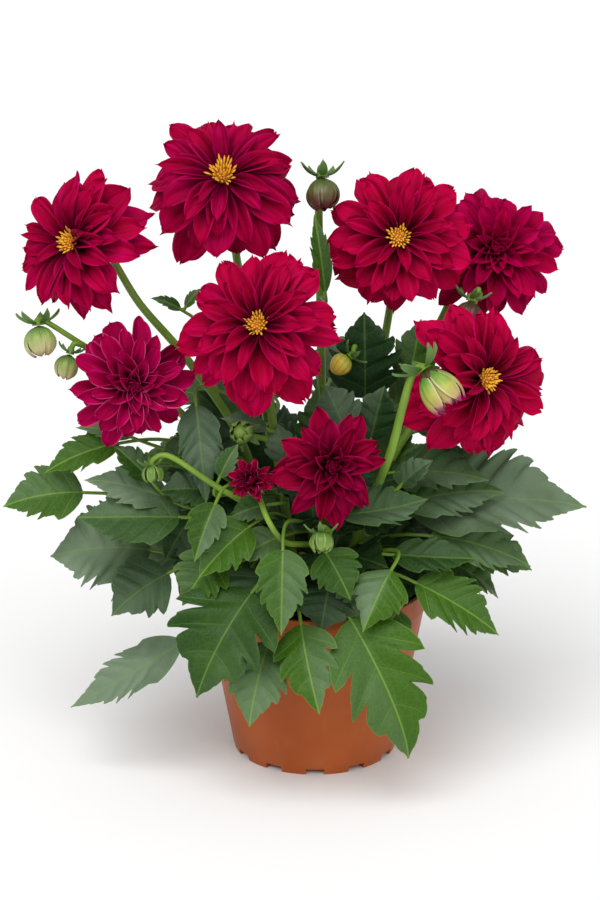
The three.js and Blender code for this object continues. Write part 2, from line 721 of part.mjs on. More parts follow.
function shootSolids(shoot) {
  const line = smoothPath([...stemRoot(shoot), ...shoot.path.map(vector), ...stalkEnd(shoot)], 1);
  const solids = [tube(line, STEM_RADIUS, STALK_RADIUS), ...headParts(shoot)];
  const fine = smoothPath([...stemRoot(shoot), ...shoot.path.map(vector), ...stalkEnd(shoot)], 8);
  (shoot.twigs ?? []).forEach((twig) => {
    const points = [vector(twig.from), ...twig.path.map(vector), ...stalkEnd(twig)];
    solids.push(tube(smoothPath(points, 1), TWIG_RADIUS * 1.2, TWIG_RADIUS, 4), ...headParts(twig));
  });
  [...shoot.leaves, ...whorlLeaves(shoot)].forEach((leaf) => {
    const base = ribFrame(leaf, 0).point;
    const reach = hypot(base.x, base.y) - hypot(line[1].x, line[1].y);
    const height = leaf.stem ?? base.z - reach * 0.12;
    const root = nearestBelow(fine.filter((p) => p.z > SOIL_TOP + 8 && hypot(p.x, p.y) < 60), height);
    solids.push(leafWithStalk(leaf, root));
  });
  return solids;
}

// Pot and soil

// The outside of the tapered wall, from just above the foot ring to the lip.
function wallRadius(z) {
  const [low, high] = [FOOT_RADIUS + 1, RIM_RADIUS - LIP_STEP];
  const share = (z - FOOT_HEIGHT) / (POT_HEIGHT - LIP_HEIGHT - FOOT_HEIGHT);
  return low + (high - low) * share;
}

function pot() {
  const underside = FOOT_HEIGHT;
  const floorTop = FOOT_HEIGHT + FLOOR;
  const lipFoot = POT_HEIGHT - LIP_HEIGHT;
  const body = lathe(
    [
      [0, 0], [CENTRE_PAD_RADIUS, 0], [CENTRE_PAD_RADIUS, underside],
      [FOOT_RADIUS - FOOT_WIDTH, underside], [FOOT_RADIUS - FOOT_WIDTH, 0], [FOOT_RADIUS, 0],
      [wallRadius(underside), underside], [wallRadius(lipFoot), lipFoot],
      [RIM_RADIUS - 0.5, lipFoot + 0.6], [RIM_RADIUS, POT_HEIGHT],
      [RIM_RADIUS - WALL - 0.6, POT_HEIGHT], [wallRadius(lipFoot) - WALL, lipFoot],
      [wallRadius(floorTop) - WALL, floorTop], [0, floorTop],
    ],
    POT_SIDES,
  );
  const cuts = [];
  for (let k = 0; k < NOTCHES; k++) {
    const turn = -PI / 2 + (2 * PI * k) / NOTCHES;
    const middle = FOOT_RADIUS - FOOT_WIDTH / 2;
    const slot = new THREE.BoxGeometry(FOOT_WIDTH + 6, NOTCH_WIDTH, 2 * (FOOT_HEIGHT - 0.6));
    cuts.push(placed(slot, middle * cos(turn), middle * sin(turn), 0, turn));
  }
  for (let k = 0; k < DRAIN_HOLES; k++) {
    const turn = (2 * PI * k) / DRAIN_HOLES;
    const hole = new THREE.CylinderGeometry(DRAIN_RADIUS, DRAIN_RADIUS, 20, 6).rotateX(PI / 2);
    cuts.push(placed(hole, DRAIN_CIRCLE * cos(turn), DRAIN_CIRCLE * sin(turn), FOOT_HEIGHT));
  }
  return body.subtract(wasm.Manifold.union(cuts));
}

function soil() {
  const floorTop = FOOT_HEIGHT + FLOOR + CLEAR;
  const inner = (z) => wallRadius(z) - WALL - CLEAR - 0.3;
  const body = lathe(
    [[0, floorTop], [inner(floorTop), floorTop], [inner(SOIL_TOP), SOIL_TOP - 1],
      [inner(SOIL_TOP) - 14, SOIL_TOP + 1], [24, SOIL_TOP + SOIL_CROWN], [0, SOIL_TOP + SOIL_CROWN]],
    POT_SIDES,
  );
  const holes = SHOOTS.map((shoot) => {
    const [foot, top] = stemRoot(shoot);
    const line = [foot.setZ(STEM_FOOT - 1), top.setZ(SOIL_TOP + 20)];
    return tube(line, STEM_RADIUS + 0.75, STEM_RADIUS + 0.75);
  });
  return body.subtract(wasm.Manifold.union(holes));
}

// The scene graph

// Colour and roughness of each material.
const LOOKS = {
  pot: [0xb4552c, 0.5],
  soil: [0x2a1d14, 1],
  foliage: [0x2c5a1e, 0.6],
  petals: [0xa3063e, 0.55],
  florets: [0xe8a516, 0.7],
  bud: [0x93a052, 0.6],
  bud_dark: [0x4a3a22, 0.6],
};
const MATERIALS = Object.fromEntries(
  Object.entries(LOOKS).map(([name, [color, roughness]]) => [
    name,
    new THREE.MeshStandardMaterial({ name, color, roughness, metalness: 0 }),
  ]),
);

const dahlia = new THREE.Group();

function add(name, solid, material) {
  const mesh = new THREE.Mesh(geometryOf(solid), MATERIALS[material]);
  mesh.name = name;
  dahlia.add(mesh);
  return mesh;
}

add("pot", pot(), "pot");
add("soil", soil(), "soil");
SHOOTS.forEach((shoot) => add(shoot.name, fused(shootSolids(shoot)), "foliage"));
BLOOMS.forEach((bloom, k) => {
  const { name, at, yaw, pitch, disc } = bloom;
  const turn = frameOf(facing(yaw, pitch));
  const heads = [[name, petals(bloom, k), "petals"]];
  if (disc) heads.push([name.replace("bloom", "florets"), florets(), "florets"]);
  heads.forEach(([node, solid, material]) => {
    const mesh = add(node, solid, material);
    mesh.quaternion.copy(turn);
    mesh.position.copy(vector(at));
  });
});
BUDS.filter(({ green }) => !green).forEach(({ name, at, way, radius, length, opening, dark }) => {
  const solid = opening ? openingBud(radius, length) : budBody(radius, length);
  const mesh = add(name, solid, dark ? "bud_dark" : "bud");
  mesh.quaternion.copy(frameOf(vector(way)));
  mesh.position.copy(vector(at));
});

export default dahlia;
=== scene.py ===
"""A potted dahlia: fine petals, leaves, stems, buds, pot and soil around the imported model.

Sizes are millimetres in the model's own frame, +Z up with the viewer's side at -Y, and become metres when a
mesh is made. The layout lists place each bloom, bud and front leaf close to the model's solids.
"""
from math import copysign, cos, hypot, pi, radians, sin, sqrt, tau

import bpy
import numpy as np
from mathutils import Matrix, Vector


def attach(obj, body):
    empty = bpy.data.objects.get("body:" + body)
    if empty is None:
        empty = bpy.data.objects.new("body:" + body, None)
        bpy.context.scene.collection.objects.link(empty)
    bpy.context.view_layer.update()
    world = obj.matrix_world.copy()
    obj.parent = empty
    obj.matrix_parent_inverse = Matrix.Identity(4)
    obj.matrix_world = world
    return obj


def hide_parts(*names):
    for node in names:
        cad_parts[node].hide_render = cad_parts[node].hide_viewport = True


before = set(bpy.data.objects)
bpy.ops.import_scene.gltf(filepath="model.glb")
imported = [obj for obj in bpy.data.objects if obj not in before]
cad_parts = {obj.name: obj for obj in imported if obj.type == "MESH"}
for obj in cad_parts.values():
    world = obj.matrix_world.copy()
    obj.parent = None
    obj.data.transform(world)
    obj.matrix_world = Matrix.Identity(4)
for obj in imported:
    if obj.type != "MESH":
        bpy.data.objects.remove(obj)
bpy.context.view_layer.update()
MM = 0.001
SHARP_ANGLE = 58
POT_SHARP_ANGLE = 40
SQUARE = ((-1, -1), (1, -1), (1, 1), (-1, 1))

# Pot
RIM_RADIUS = 70
LIP_STEP = 2.2
LIP_HEIGHT = 13
POT_HEIGHT = 108
WALL = 1.9
FOOT_RADIUS = 50.2
FOOT_WIDTH = 5.5
FOOT_HEIGHT = 4.5
FLOOR = 2.4
CENTRE_PAD_RADIUS = 10
POT_SIDES = 144
NOTCHES = 12
NOTCH_WIDTH = 11
DRAIN_HOLES = 6
DRAIN_RADIUS = 3.5
DRAIN_CIRCLE = 29

# Soil and what stands in it
CLEAR = 0.35
SOIL_TOP = 93
SOIL_CROWN = 2.5
SOIL_SWELLS = 26
CRUMBS = 420
STEM_CIRCLE = 20
STEM_FOOT = 64
STEM_RADIUS = 3.1
STALK_RADIUS = 2.1
TWIG_RADIUS = 1.5

# Foliage shells: every leaf lies on one of a family of nested domes round the pot's axis
SHELL_START = 25
SHELL_LOW = 112
SHELL_RISE = 110
SHELL_SLOPE = (18, 22)
SHELL_BEND = (0.85, 0.6, 0.7)

# Leaves
LEAF_THICK = 0.5
LEAF_FOLD = 0.16
LEAF_FULL = 3.9
LEAF_LEAN = 30
PETIOLE_RADIUS = 1.3
VEIN_SLANT = 0.38
FREE_FACE = np.array([0, -0.72, 0.7])
FREE_BULGE = 0.12
INNER_LEAVES = ((0.06, 62), (0.2, 56), (0.36, 50), (0.52, 46))

# Blooms
CORE_RADIUS = 7.2
CORE_BACK = 6
CORE_FRONT = 2
DISC_RADIUS = 5.2
STAMENS = 46
STAMEN_RADII = (0.34, 0.32, 0.32, 0.36, 0.52, 0.62, 0.5, 0.12)
PETAL_THICK = 0.45
PETAL_RIDGES = 2.6
CALYX_LENGTH = 8
CALYX_BRACTS = 8
BUD_BRACTS = 5
GOLDEN_ANGLE = 137.5
HEART_PETALS = 18
GREEN_SCALES = 7
INNER_SHARE = 0.62
EGG = ([0, 0.04, 0.14, 0.3, 0.46, 0.62, 0.78, 0.92, 1], [0.05, 0.45, 0.78, 0.96, 1, 0.92, 0.74, 0.42, 0.05])
OPENING_SCALES = [(6, (30, 122), 1.08, 0.4), (6, (44, 116), 1.0, 0.36)]
CLOSED_SCALES = [(5, (8, 164), 1.24, 0.52), (5, (12, 172), 1.2, 0.56)]

# Arithmetic


def vec(values):
    return np.array(values, float)


def unit(v):
    return v / np.linalg.norm(v, axis=-1, keepdims=True)


def bundle(*values):
    """Numbers and arrays side by side, along a new last axis."""
    return np.stack(np.broadcast_arrays(*values), axis=-1)


def spoke(angle):
    """The level unit vector at an angle from +X, in radians."""
    return bundle(np.cos(angle), np.sin(angle), 0.0)


def smooth_step(low, high, x):
    t = np.clip((x - low) / (high - low), 0, 1)
    return t * t * (3 - 2 * t)


def turned_about(v, axis, angle):
    """v turned about each unit axis by each angle, in radians."""
    c, s = np.cos(angle)[..., None], np.sin(angle)[..., None]
    along = np.sum(v * axis, axis=-1, keepdims=True)
    return v * c + np.cross(axis, v) * s + axis * along * (1 - c)


def smooth_path(points, steps):
    """A smooth line through the points, with `steps` pieces between each pair."""
    points = [vec(p) for p in points]
    last = len(points) - 1
    line = []
    for i in range(last):
        around = [points[max(i - 1, 0)], points[i], points[i + 1], points[min(i + 2, last)]]
        for k in range(steps):
            u = k / steps
            weights = [
                ((2 - u) * u - 1) * u * 0.5,
                ((3 * u - 5) * u * u + 2) * 0.5,
                ((4 - 3 * u) * u + 1) * u * 0.5,
                (u - 1) * u * u * 0.5,
            ]
            line.append(sum(w * q for w, q in zip(weights, around)))
    return np.array([*line, points[last]])


# Meshes


class Skin:
    """Patches of surface that become one mesh, each with notes for its material to read."""

    def __init__(self, looks):
        self.looks = looks
        self.points, self.faces, self.slots = [], [], []
        self.places, self.kinds = [], []
        self.count = 0

    def add(self, points, faces, look, place=(0, 0, 0), kind=(0, 0, 0)):
        """Faces are index arrays or (array, look) pairs. Notes are three numbers, by point or for all."""
        points = np.asarray(points, float).reshape(-1, 3)
        self.points.append(points)
        for notes, note in ((self.places, place), (self.kinds, kind)):
            notes.append(np.broadcast_to(np.asarray(note, float).reshape(-1, 3), points.shape))
        for corners, name in [(f, look) if isinstance(f, np.ndarray) else f for f in faces]:
            self.faces.append(corners + self.count)
            self.slots.append(np.full(len(corners), self.looks.index(name)))
        self.count += len(points)

    def loft(self, rings, look, place=(0, 0, 0), kind=(0, 0, 0), under=None):
        """A closed skin through rings of points; `under` is the look of the second half of each ring."""
        rows, sides = rings.shape[:2]
        i, j = np.meshgrid(np.arange(rows - 1) * sides, np.arange(sides), indexing="ij")
        across = (j + 1) % sides
        quads = bundle(i + j, i + across, i + sides + across, i + sides + j)
        caps = np.array([np.arange(sides)[::-1], np.arange(sides) + (rows - 1) * sides])
        half = sides // 2
        if under:
            turned = np.roll(quads[:, half:], 1, axis=-1)
            faces = [(quads[:, :half].reshape(-1, 4), look), (turned.reshape(-1, 4), under)]
        else:
            faces = [quads.reshape(-1, 4)]
        self.add(rings, [*faces, caps], look, place, kind)

    def mesh(self, name):
        made = bpy.data.meshes.new(name)
        points = np.concatenate(self.points) * MM
        corners = np.concatenate([f.ravel() for f in self.faces])
        sizes = np.concatenate([np.full(len(f), f.shape[1]) for f in self.faces])
        made.vertices.add(len(points))
        made.vertices.foreach_set("co", points.ravel())
        made.loops.add(len(corners))
        made.loops.foreach_set("vertex_index", corners.astype(np.int32))
        made.polygons.add(len(sizes))
        made.polygons.foreach_set("loop_start", (np.cumsum(sizes) - sizes).astype(np.int32))
        made.polygons.foreach_set("material_index", np.concatenate(self.slots).astype(np.int32))
        for label, notes in (("place", self.places), ("kind", self.kinds)):
            attribute = made.attributes.new(label, "FLOAT_VECTOR", "POINT")
            attribute.data.foreach_set("vector", np.concatenate(notes).ravel())
        made.update(calc_edges=True)
        made.validate()
        made.shade_smooth()
        made.set_sharp_from_angle(angle=radians(SHARP_ANGLE))
        for look in self.looks:
            made.materials.append(LOOKS[look])
        return made


def linked(name, data):
    """A new object in the scene."""
    made = bpy.data.objects.new(name, data)
    bpy.context.scene.collection.objects.link(made)
    return made


def piece(name, skin, nodes):
    """The skin as a named piece that stands for the CAD nodes."""
    made = linked(name, skin.mesh(name))
    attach(made, "root")
    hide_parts(*nodes)
    return made


def tube(line, radii, sides):
    """Rings round a line. radii is one number or one for each point of it."""
    line = np.asarray(line, float)
    tangents = unit(np.gradient(line, axis=0))
    across = np.cross(tangents[0], [0.3, 0.5, 1] if abs(tangents[0][2]) < 0.8 else [1, 0, 0])
    rows = []
    for tangent in tangents:
        across = unit(across - tangent * np.dot(across, tangent))
        rows.append(across)
    across = np.array(rows)
    other = np.cross(tangents, across)
    angle = tau * np.arange(sides) / sides
    radii = np.broadcast_to(np.asarray(radii, float), len(line))[:, None, None]
    spokes = across[:, None] * np.cos(angle)[None, :, None] + other[:, None] * np.sin(angle)[None, :, None]
    return line[:, None] + radii * spokes


def lathe(profile, sides):
    """Rings round the Z axis through (radius, height) points, listed with the outside on the right."""
    profile = vec(profile)
    spokes = spoke(tau * np.arange(sides) / sides)
    return profile[:, None, :1] * spokes[None] + profile[:, None, 1:] * vec([0, 0, 1])


def sheet_rings(points, normals, thickness, v):
    """A thin closed blade round a sheet of points: over its upper side and back under it."""
    lift = normals * (thickness / 2 * (1 - np.abs(v) ** 4))[..., None]
    upper, lower = points + lift, points - lift
    return np.concatenate([upper, lower[:, -2:0:-1]], axis=1)


def both_sides(notes):
    return np.concatenate([notes, notes[:, -2:0:-1]], axis=1)


# Petals, bracts and lobes


def outline(root, widest, shoulder, depth, blunt, power):
    """Half width along a blade: it widens from `root` up to `widest`, and closes past `shoulder`."""

    def half(u):
        closing = np.clip((u - shoulder) / (1 - shoulder), 0, 1)
        body = root + (1 - root) * smooth_step(-0.05, widest, u)
        return body * (1 - depth * closing ** blunt) ** power

    return half


BROAD = outline(0.3, 0.55, 0.58, 0.9, 3.3, 0.62)
TAPERED = outline(0.3, 0.5, 0.5, 0.94, 2.6, 0.72)
POINTED = outline(0.3, 0.42, 0.4, 0.97, 2.2, 0.8)
SPOON = outline(0.28, 0.6, 0.58, 0.95, 2.6, 0.62)
SMALL = outline(0.35, 0.5, 0.5, 0.96, 2.3, 0.75)
def petal(skin, azimuth, rng, place_at, root, level, length, width, slopes, cup, shape=SMALL, folds=0.05,
          wave=0.05, blunt=0.06, notch=0.02, twist=0.12, thick=PETAL_THICK, look="petal", kind=(0, 0, 0),
          rows=17, columns=5):
    """A blade in its head's own frame. Its slope turns from slopes[0] at the root to slopes[1] at the tip."""
    start, end = np.radians(slopes)
    u = np.linspace(0, 1, rows + 1)[:, None]
    v = np.linspace(-1, 1, 2 * columns + 1)[None, :]
    blunt = blunt * rng.uniform(0.3, 1.7)
    notch = notch * rng.uniform(0.2, 1.8)
    reach = 1 - blunt * np.abs(v) ** 1.3 - notch * (1 - np.cos(3 * pi * (v + 0.08 * rng.normal()))) / 2
    run = u * (1 - (1 - reach) * u ** 5)

    fine = np.linspace(0, 1, 61)
    slope = start + (end - start) * fine
    middle, step = (slope[1:] + slope[:-1]) / 2, length / 60
    r_line = root + np.concatenate([[0], np.cumsum(np.cos(middle) * step)])
    z_line = level + np.concatenate([[0], np.cumsum(np.sin(middle) * step)])
    r, z, lean = (np.interp(run, fine, line) for line in (r_line, z_line, slope))

    out, up = spoke(azimuth), vec([0, 0, 1])
    side = np.cross(out, up)
    normal = -np.sin(lean)[..., None] * out + np.cos(lean)[..., None] * up
    half = shape(u) * width / 2
    phase = rng.uniform(0, tau, 4)
    twist = rng.normal(0, twist) * u ** 1.5
    across = v * half
    lift = cup * half * np.abs(v) ** 1.5 * (1.3 - 0.6 * u)
    grooves = np.cos(PETAL_RIDGES * pi * v + 0.6 * np.sin(phase[0])) * smooth_step(-0.1, 0.35, u)
    lift = lift + folds * rng.uniform(0.5, 1.5) * width * grooves * (1 - 0.45 * u)
    lift = lift + wave * width * u ** 1.5 * v ** 2 * np.sin(tau * 1.2 * u + phase[1] + np.sign(v) * phase[2])
    lift = lift + 0.4 * wave * width * u ** 4 * np.sin(5 * v + phase[3])
    sway = rng.normal(0, 0.05) * length * u ** 2
    x = across * np.cos(twist) - lift * np.sin(twist) + sway
    y = across * np.sin(twist) + lift * np.cos(twist)
    points = r[..., None] * out + z[..., None] * up + x[..., None] * side + y[..., None] * normal
    notes = both_sides(bundle(run, v, rng.uniform()))
    under = look + "_under" if look + "_under" in skin.looks else None
    skin.loft(place_at(sheet_rings(points, normal, thick, v)), look, notes, kind, under)


def blade_ring(skin, count, rng, place_at, turn=0.0, stray=0.0, **blade):
    """Blades all round a head, each turned a share of the step between them."""
    for k in range(count):
        off = turn + (stray * rng.normal() if stray else 0)
        petal(skin, tau * (k + off) / count, rng, place_at, **blade)


OPEN_FORM = dict(
    count=48, length=(1.09, 0.62), width=(0.47, 0.14), rise=(-6, 56), curl=(50, 40), cup=(0.05, 1.3),
    shape=BROAD, folds=0.08, wave=0.1, blunt=0.07, notch=0.035, stray=1.5, ease=1,
)
FORMS = {
    "open": OPEN_FORM,
    "loose": dict(
        OPEN_FORM, length=(1.14, 0.62), shape=TAPERED, folds=0.09, wave=0.11, blunt=0.08, notch=0.02,
        stray=1.7,
    ),
    "full": dict(
        count=54, length=(1.08, 0.46), width=(0.34, 0.18), rise=(-8, 80), curl=(44, 16), cup=(0.9, 1.5),
        shape=SPOON, folds=0.03, wave=0.09, blunt=0.05, notch=0.025, stray=1.5, ease=1.2,
    ),
    "star": dict(
        count=36, length=(1.06, 0.44), width=(0.43, 0.17), rise=(0, 82), curl=(40, 14), cup=(0.25, 1.1),
        shape=POINTED, folds=0.1, wave=0.14, blunt=0.03, notch=0.0, stray=1.9, ease=1.2,
    ),
    "tuft": dict(
        count=44, length=(1.12, 1.15), width=(0.34, 0.24), rise=(14, 84), curl=(6, 4), cup=(0.8, 1.1),
        shape=SPOON, folds=0.04, wave=0.12, blunt=0.04, notch=0.03, stray=2.2, ease=1,
    ),
}


def has_disc(bloom):
    return bloom["form"] in ("open", "loose")


def shrink_of(bloom):
    return 0.5 if bloom["form"] == "tuft" else 1
def bloom_petals(skin, bloom, seed, place_at):
    form, radius, shrink = FORMS[bloom["form"]], bloom["radius"], shrink_of(bloom)
    magenta, pale, dark = bloom["magenta"], bloom.get("pale", 0), bloom.get("dark", 0)
    stray = form["stray"]
    rng = np.random.default_rng(100 + seed)
    for k in range(form["count"]):
        t = (k / (form["count"] - 1)) ** form["ease"]

        def between(pair):
            return pair[0] + (pair[1] - pair[0]) * t

        slope = between(form["rise"]) - bloom.get("droop", 0) + 3 * sin(7 * k + seed)
        slope = slope + stray * rng.normal(0, 3)
        uneven = 1 + 0.05 * sin(5 * k + seed) - 0.09 * stray * rng.uniform()
        width = between(form["width"]) * radius * (1 + stray * rng.normal(0, 0.08))
        tip_slope = slope - between(form["curl"]) + stray * rng.normal(0, 6)
        # The dark note is painted shade, deepening towards the inner petals in the bloom's hollow.
        kind = (magenta + rng.uniform(-0.1, 0.25), pale, dark + 0.3 * t)
        azimuth = GOLDEN_ANGLE * k + 40 * seed + stray * rng.normal(0, 3.5)
        petal(skin, radians(azimuth), rng, place_at, root=between((3.4, 4.6)) * shrink,
              level=between((-CORE_BACK + 2, 0.4)) * shrink, length=between(form["length"]) * radius * uneven,
              width=width, slopes=(slope, tip_slope), cup=between(form["cup"]),
              shape=SMALL if t > INNER_SHARE else form["shape"], folds=form["folds"], wave=form["wave"],
              blunt=form["blunt"], notch=form["notch"], kind=kind)
    for k in range(0 if has_disc(bloom) else HEART_PETALS):
        t = k / (HEART_PETALS - 1)
        petal(skin, radians(GOLDEN_ANGLE * k), rng, place_at, root=(3.6 - 2.6 * t) * shrink,
              level=0.6 * shrink, length=radius * (0.34 - 0.1 * t), width=radius * 0.15,
              slopes=(76 + 8 * t, 94 + 10 * t), cup=1.2, folds=0.03, kind=(magenta + 0.2, pale, dark),
              rows=12, columns=4)
    back, front, wide = -CORE_BACK * shrink, CORE_FRONT * shrink, CORE_RADIUS * shrink
    core = lathe([(0.1, back), (0.7 * wide, back), (wide, front - 1), (0.1, front)], 24)
    # Painted shade: the core takes the ramp's root colour and a strong dark note.
    skin.loft(place_at(core), "petal", (0.05, 0, 0.5), (0.5, 0, 0.6))


def stamens(skin, bloom, seed, place_at):
    """The yellow disc: a low dome under a crowd of small florets with anthers at their ends."""
    rng = np.random.default_rng(300 + seed)
    low = CORE_FRONT + CLEAR
    dome = [(0.05, low), (DISC_RADIUS * 0.9, low), (DISC_RADIUS * 0.8, low + 1), (DISC_RADIUS * 0.4, low + 2),
            (0.05, low + 2.4)]
    skin.loft(place_at(lathe(dome, 20)), "stamen", (0.1, 0, 0.3))
    along = np.linspace(0, 1, len(STAMEN_RADII))[:, None]
    for k in range(STAMENS):
        share = sqrt((k + 0.5) / STAMENS)
        out = spoke(radians(GOLDEN_ANGLE * k))
        foot = out * DISC_RADIUS * 0.85 * share + vec([0, 0, low + 0.6])
        lean = radians(30 * share + rng.normal(0, 7))
        length = (3.2 + 3.2 * share) * rng.uniform(0.75, 1.15) * bloom.get("stamens", 1)
        way = out * sin(lean) + vec([0, 0, cos(lean)])
        line = foot + way * length * along + out * 0.5 * along ** 2
        notes = bundle(along, 0.0, rng.uniform()).repeat(6, axis=1)
        skin.loft(place_at(tube(line, STAMEN_RADII, 6)), "stamen", notes)


def calyx(skin, shrink, place_at, rng):
    """The green cup behind a bloom, with its bent-back bracts."""
    back = -CORE_BACK * shrink - CLEAR
    tail = back - CALYX_LENGTH * shrink
    cup = [(0.1, tail - 1), (STALK_RADIUS * 1.05, tail), (STALK_RADIUS * 1.25, tail + 2 * shrink),
           (CORE_RADIUS * 0.6 * shrink, back - 2 * shrink), (CORE_RADIUS * 0.68 * shrink, back), (0.1, back)]
    skin.loft(place_at(lathe(cup, 16)), "stem", (0.5, 0, 0.5))
    blade_ring(skin, CALYX_BRACTS, rng, place_at, root=2 * shrink, level=back - 2.5, length=14 * shrink,
               width=6.4 * shrink, slopes=(-50, -20), cup=0.12, thick=0.6, folds=0.02, wave=0.03,
               look="bract", rows=8, columns=3)


# Buds


def bud_body(skin, radius, length, place_at, look, ribs=10, start=CLEAR, sides=60, rows=26):
    """A closed bud: scales wrapped to a point, as a ribbed and slightly twisted egg."""
    t = np.linspace(0, 1, rows + 1)[:, None]
    a = tau * np.arange(sides)[None, :] / sides
    rib = np.sin(ribs / 2 * (a + 0.5 * t))
    swell = radius * np.interp(t, *EGG) * (1 + 0.07 * np.abs(rib) ** 0.7 - 0.05)
    points = bundle(swell * np.cos(a), swell * np.sin(a), start + (length - start) * t)
    skin.loft(place_at(points), look, bundle(t, rib, 0.0))


def scaly_bud(skin, bud, place_at, rng):
    """A bud with scales: rings of lobes that bend in over a smaller egg."""
    radius, length = bud["radius"], bud["length"]
    bud_body(skin, radius * 0.62, length * 0.84, place_at, "bud_red", ribs=8)
    rings = OPENING_SCALES if bud["name"] == "opening" else CLOSED_SCALES
    for ring, (lobes, slopes, long, wide) in enumerate(rings):
        for k in range(lobes):
            reach = long * length * rng.uniform(0.95, 1.03)
            azimuth = tau * (k + 0.5 * ring + 0.1 * rng.normal()) / lobes
            petal(skin, azimuth, rng, place_at, root=radius * 0.2, level=CLEAR + 1, length=reach,
                  width=wide * length, slopes=slopes, cup=0.35, thick=0.8, folds=0.03, wave=0.03, twist=0.1,
                  look=bud["look"], rows=16)


def bracts(skin, radius, place_at, rng, spread=1.0):
    """The sepals that spread behind a bud, in the directions of the model's own."""
    blade_ring(skin, BUD_BRACTS, rng, place_at, turn=0.3, root=1.2, level=-1, length=radius * 1.5 * spread,
               width=radius * 0.56, slopes=(-12, -52), cup=0.3, shape=POINTED, thick=0.7, folds=0.04,
               wave=0.08, look="bract", rows=10, columns=4)


def bud_holder(skin, bud, place_at, rng):
    """What a shoot holds of a bud: its knob and bracts, or the whole of a small green one."""
    radius, length = bud["radius"], bud["length"]
    if bud["look"] == "bud_green":
        bud_body(skin, 0.9 * radius, 0.9 * length, place_at, bud["look"], 12, start=-2, sides=48, rows=18)
        blade_ring(skin, GREEN_SCALES, rng, place_at, stray=0.12, root=1.5, level=-1.8, length=1.5 * length,
                   width=0.95 * radius, slopes=(8, 152), cup=0.15, thick=0.6, folds=0.04, wave=0.1, twist=0.2,
                   look="bud_scale", rows=16, columns=4)
        bracts(skin, radius, place_at, rng, 1.2)
        return
    knob = lathe([(0.1, -5), (STALK_RADIUS * 0.9, -4), (radius * 0.42, 0), (0.1, 0.2)], 16)
    skin.loft(place_at(knob), "stem", (0.5, 0, 0.5))
    bracts(skin, radius, place_at, rng)


# Leaves


def shell_points(tier, distance, azimuth):
    """Points on the foliage shells, with their outward normals. Tier 0 is the lowest dome, 1 the highest."""
    start = np.radians(SHELL_SLOPE[0] + SHELL_SLOPE[1] * tier)
    bend = np.radians(SHELL_BEND[0] - SHELL_BEND[1] * np.maximum(tier, 0) ** SHELL_BEND[2])
    slope = start - bend * distance
    r = SHELL_START + (np.sin(start) - np.sin(slope)) / bend
    z = SHELL_LOW + SHELL_RISE * tier + (np.cos(slope) - np.cos(start)) / bend
    a = np.radians(azimuth)
    normals = bundle(-np.sin(slope) * np.cos(a), -np.sin(slope) * np.sin(a), np.cos(slope))
    return bundle(r * np.cos(a), r * np.sin(a), z), normals


def rib_points(leaf, u):
    """A leaf's rib: between two places on the shells, or free between two points and facing the viewer."""
    u = np.asarray(u, float)[..., None]
    if "base" in leaf:
        a, b = vec(leaf["base"]), vec(leaf["tip"])
        rise = 4 * u * (1 - u) * leaf.get("bulge", FREE_BULGE) * np.linalg.norm(b - a)
        return a + (b - a) * u + FREE_FACE * rise, np.broadcast_to(FREE_FACE, (*u.shape[:-1], 3))
    where = vec(leaf["from"]) + (vec(leaf["to"]) - vec(leaf["from"])) * u
    return shell_points(where[..., 0], where[..., 1], where[..., 2])


def rib_frames(leaf, u):
    points, normals = rib_points(leaf, u)
    tangents = unit(rib_points(leaf, u + 0.02)[0] - rib_points(leaf, u - 0.02)[0])
    sides = unit(np.cross(tangents, normals))
    turn = (0 if "base" in leaf else LEAF_LEAN * tangents[..., 0]) + leaf.get("roll", 0)
    ups = turned_about(np.cross(sides, tangents), tangents, np.radians(turn + 0 * tangents[..., 0]))
    return points, tangents, ups, np.cross(tangents, ups)


def tooth(phase):
    """A rounded tooth that grows towards the tip and then falls back, once in each turn of phase."""
    s = phase % 1
    return np.where(s < 0.76, np.sin(pi / 2 * s / 0.76), np.cos(pi / 2 * (s - 0.76) / 0.24))


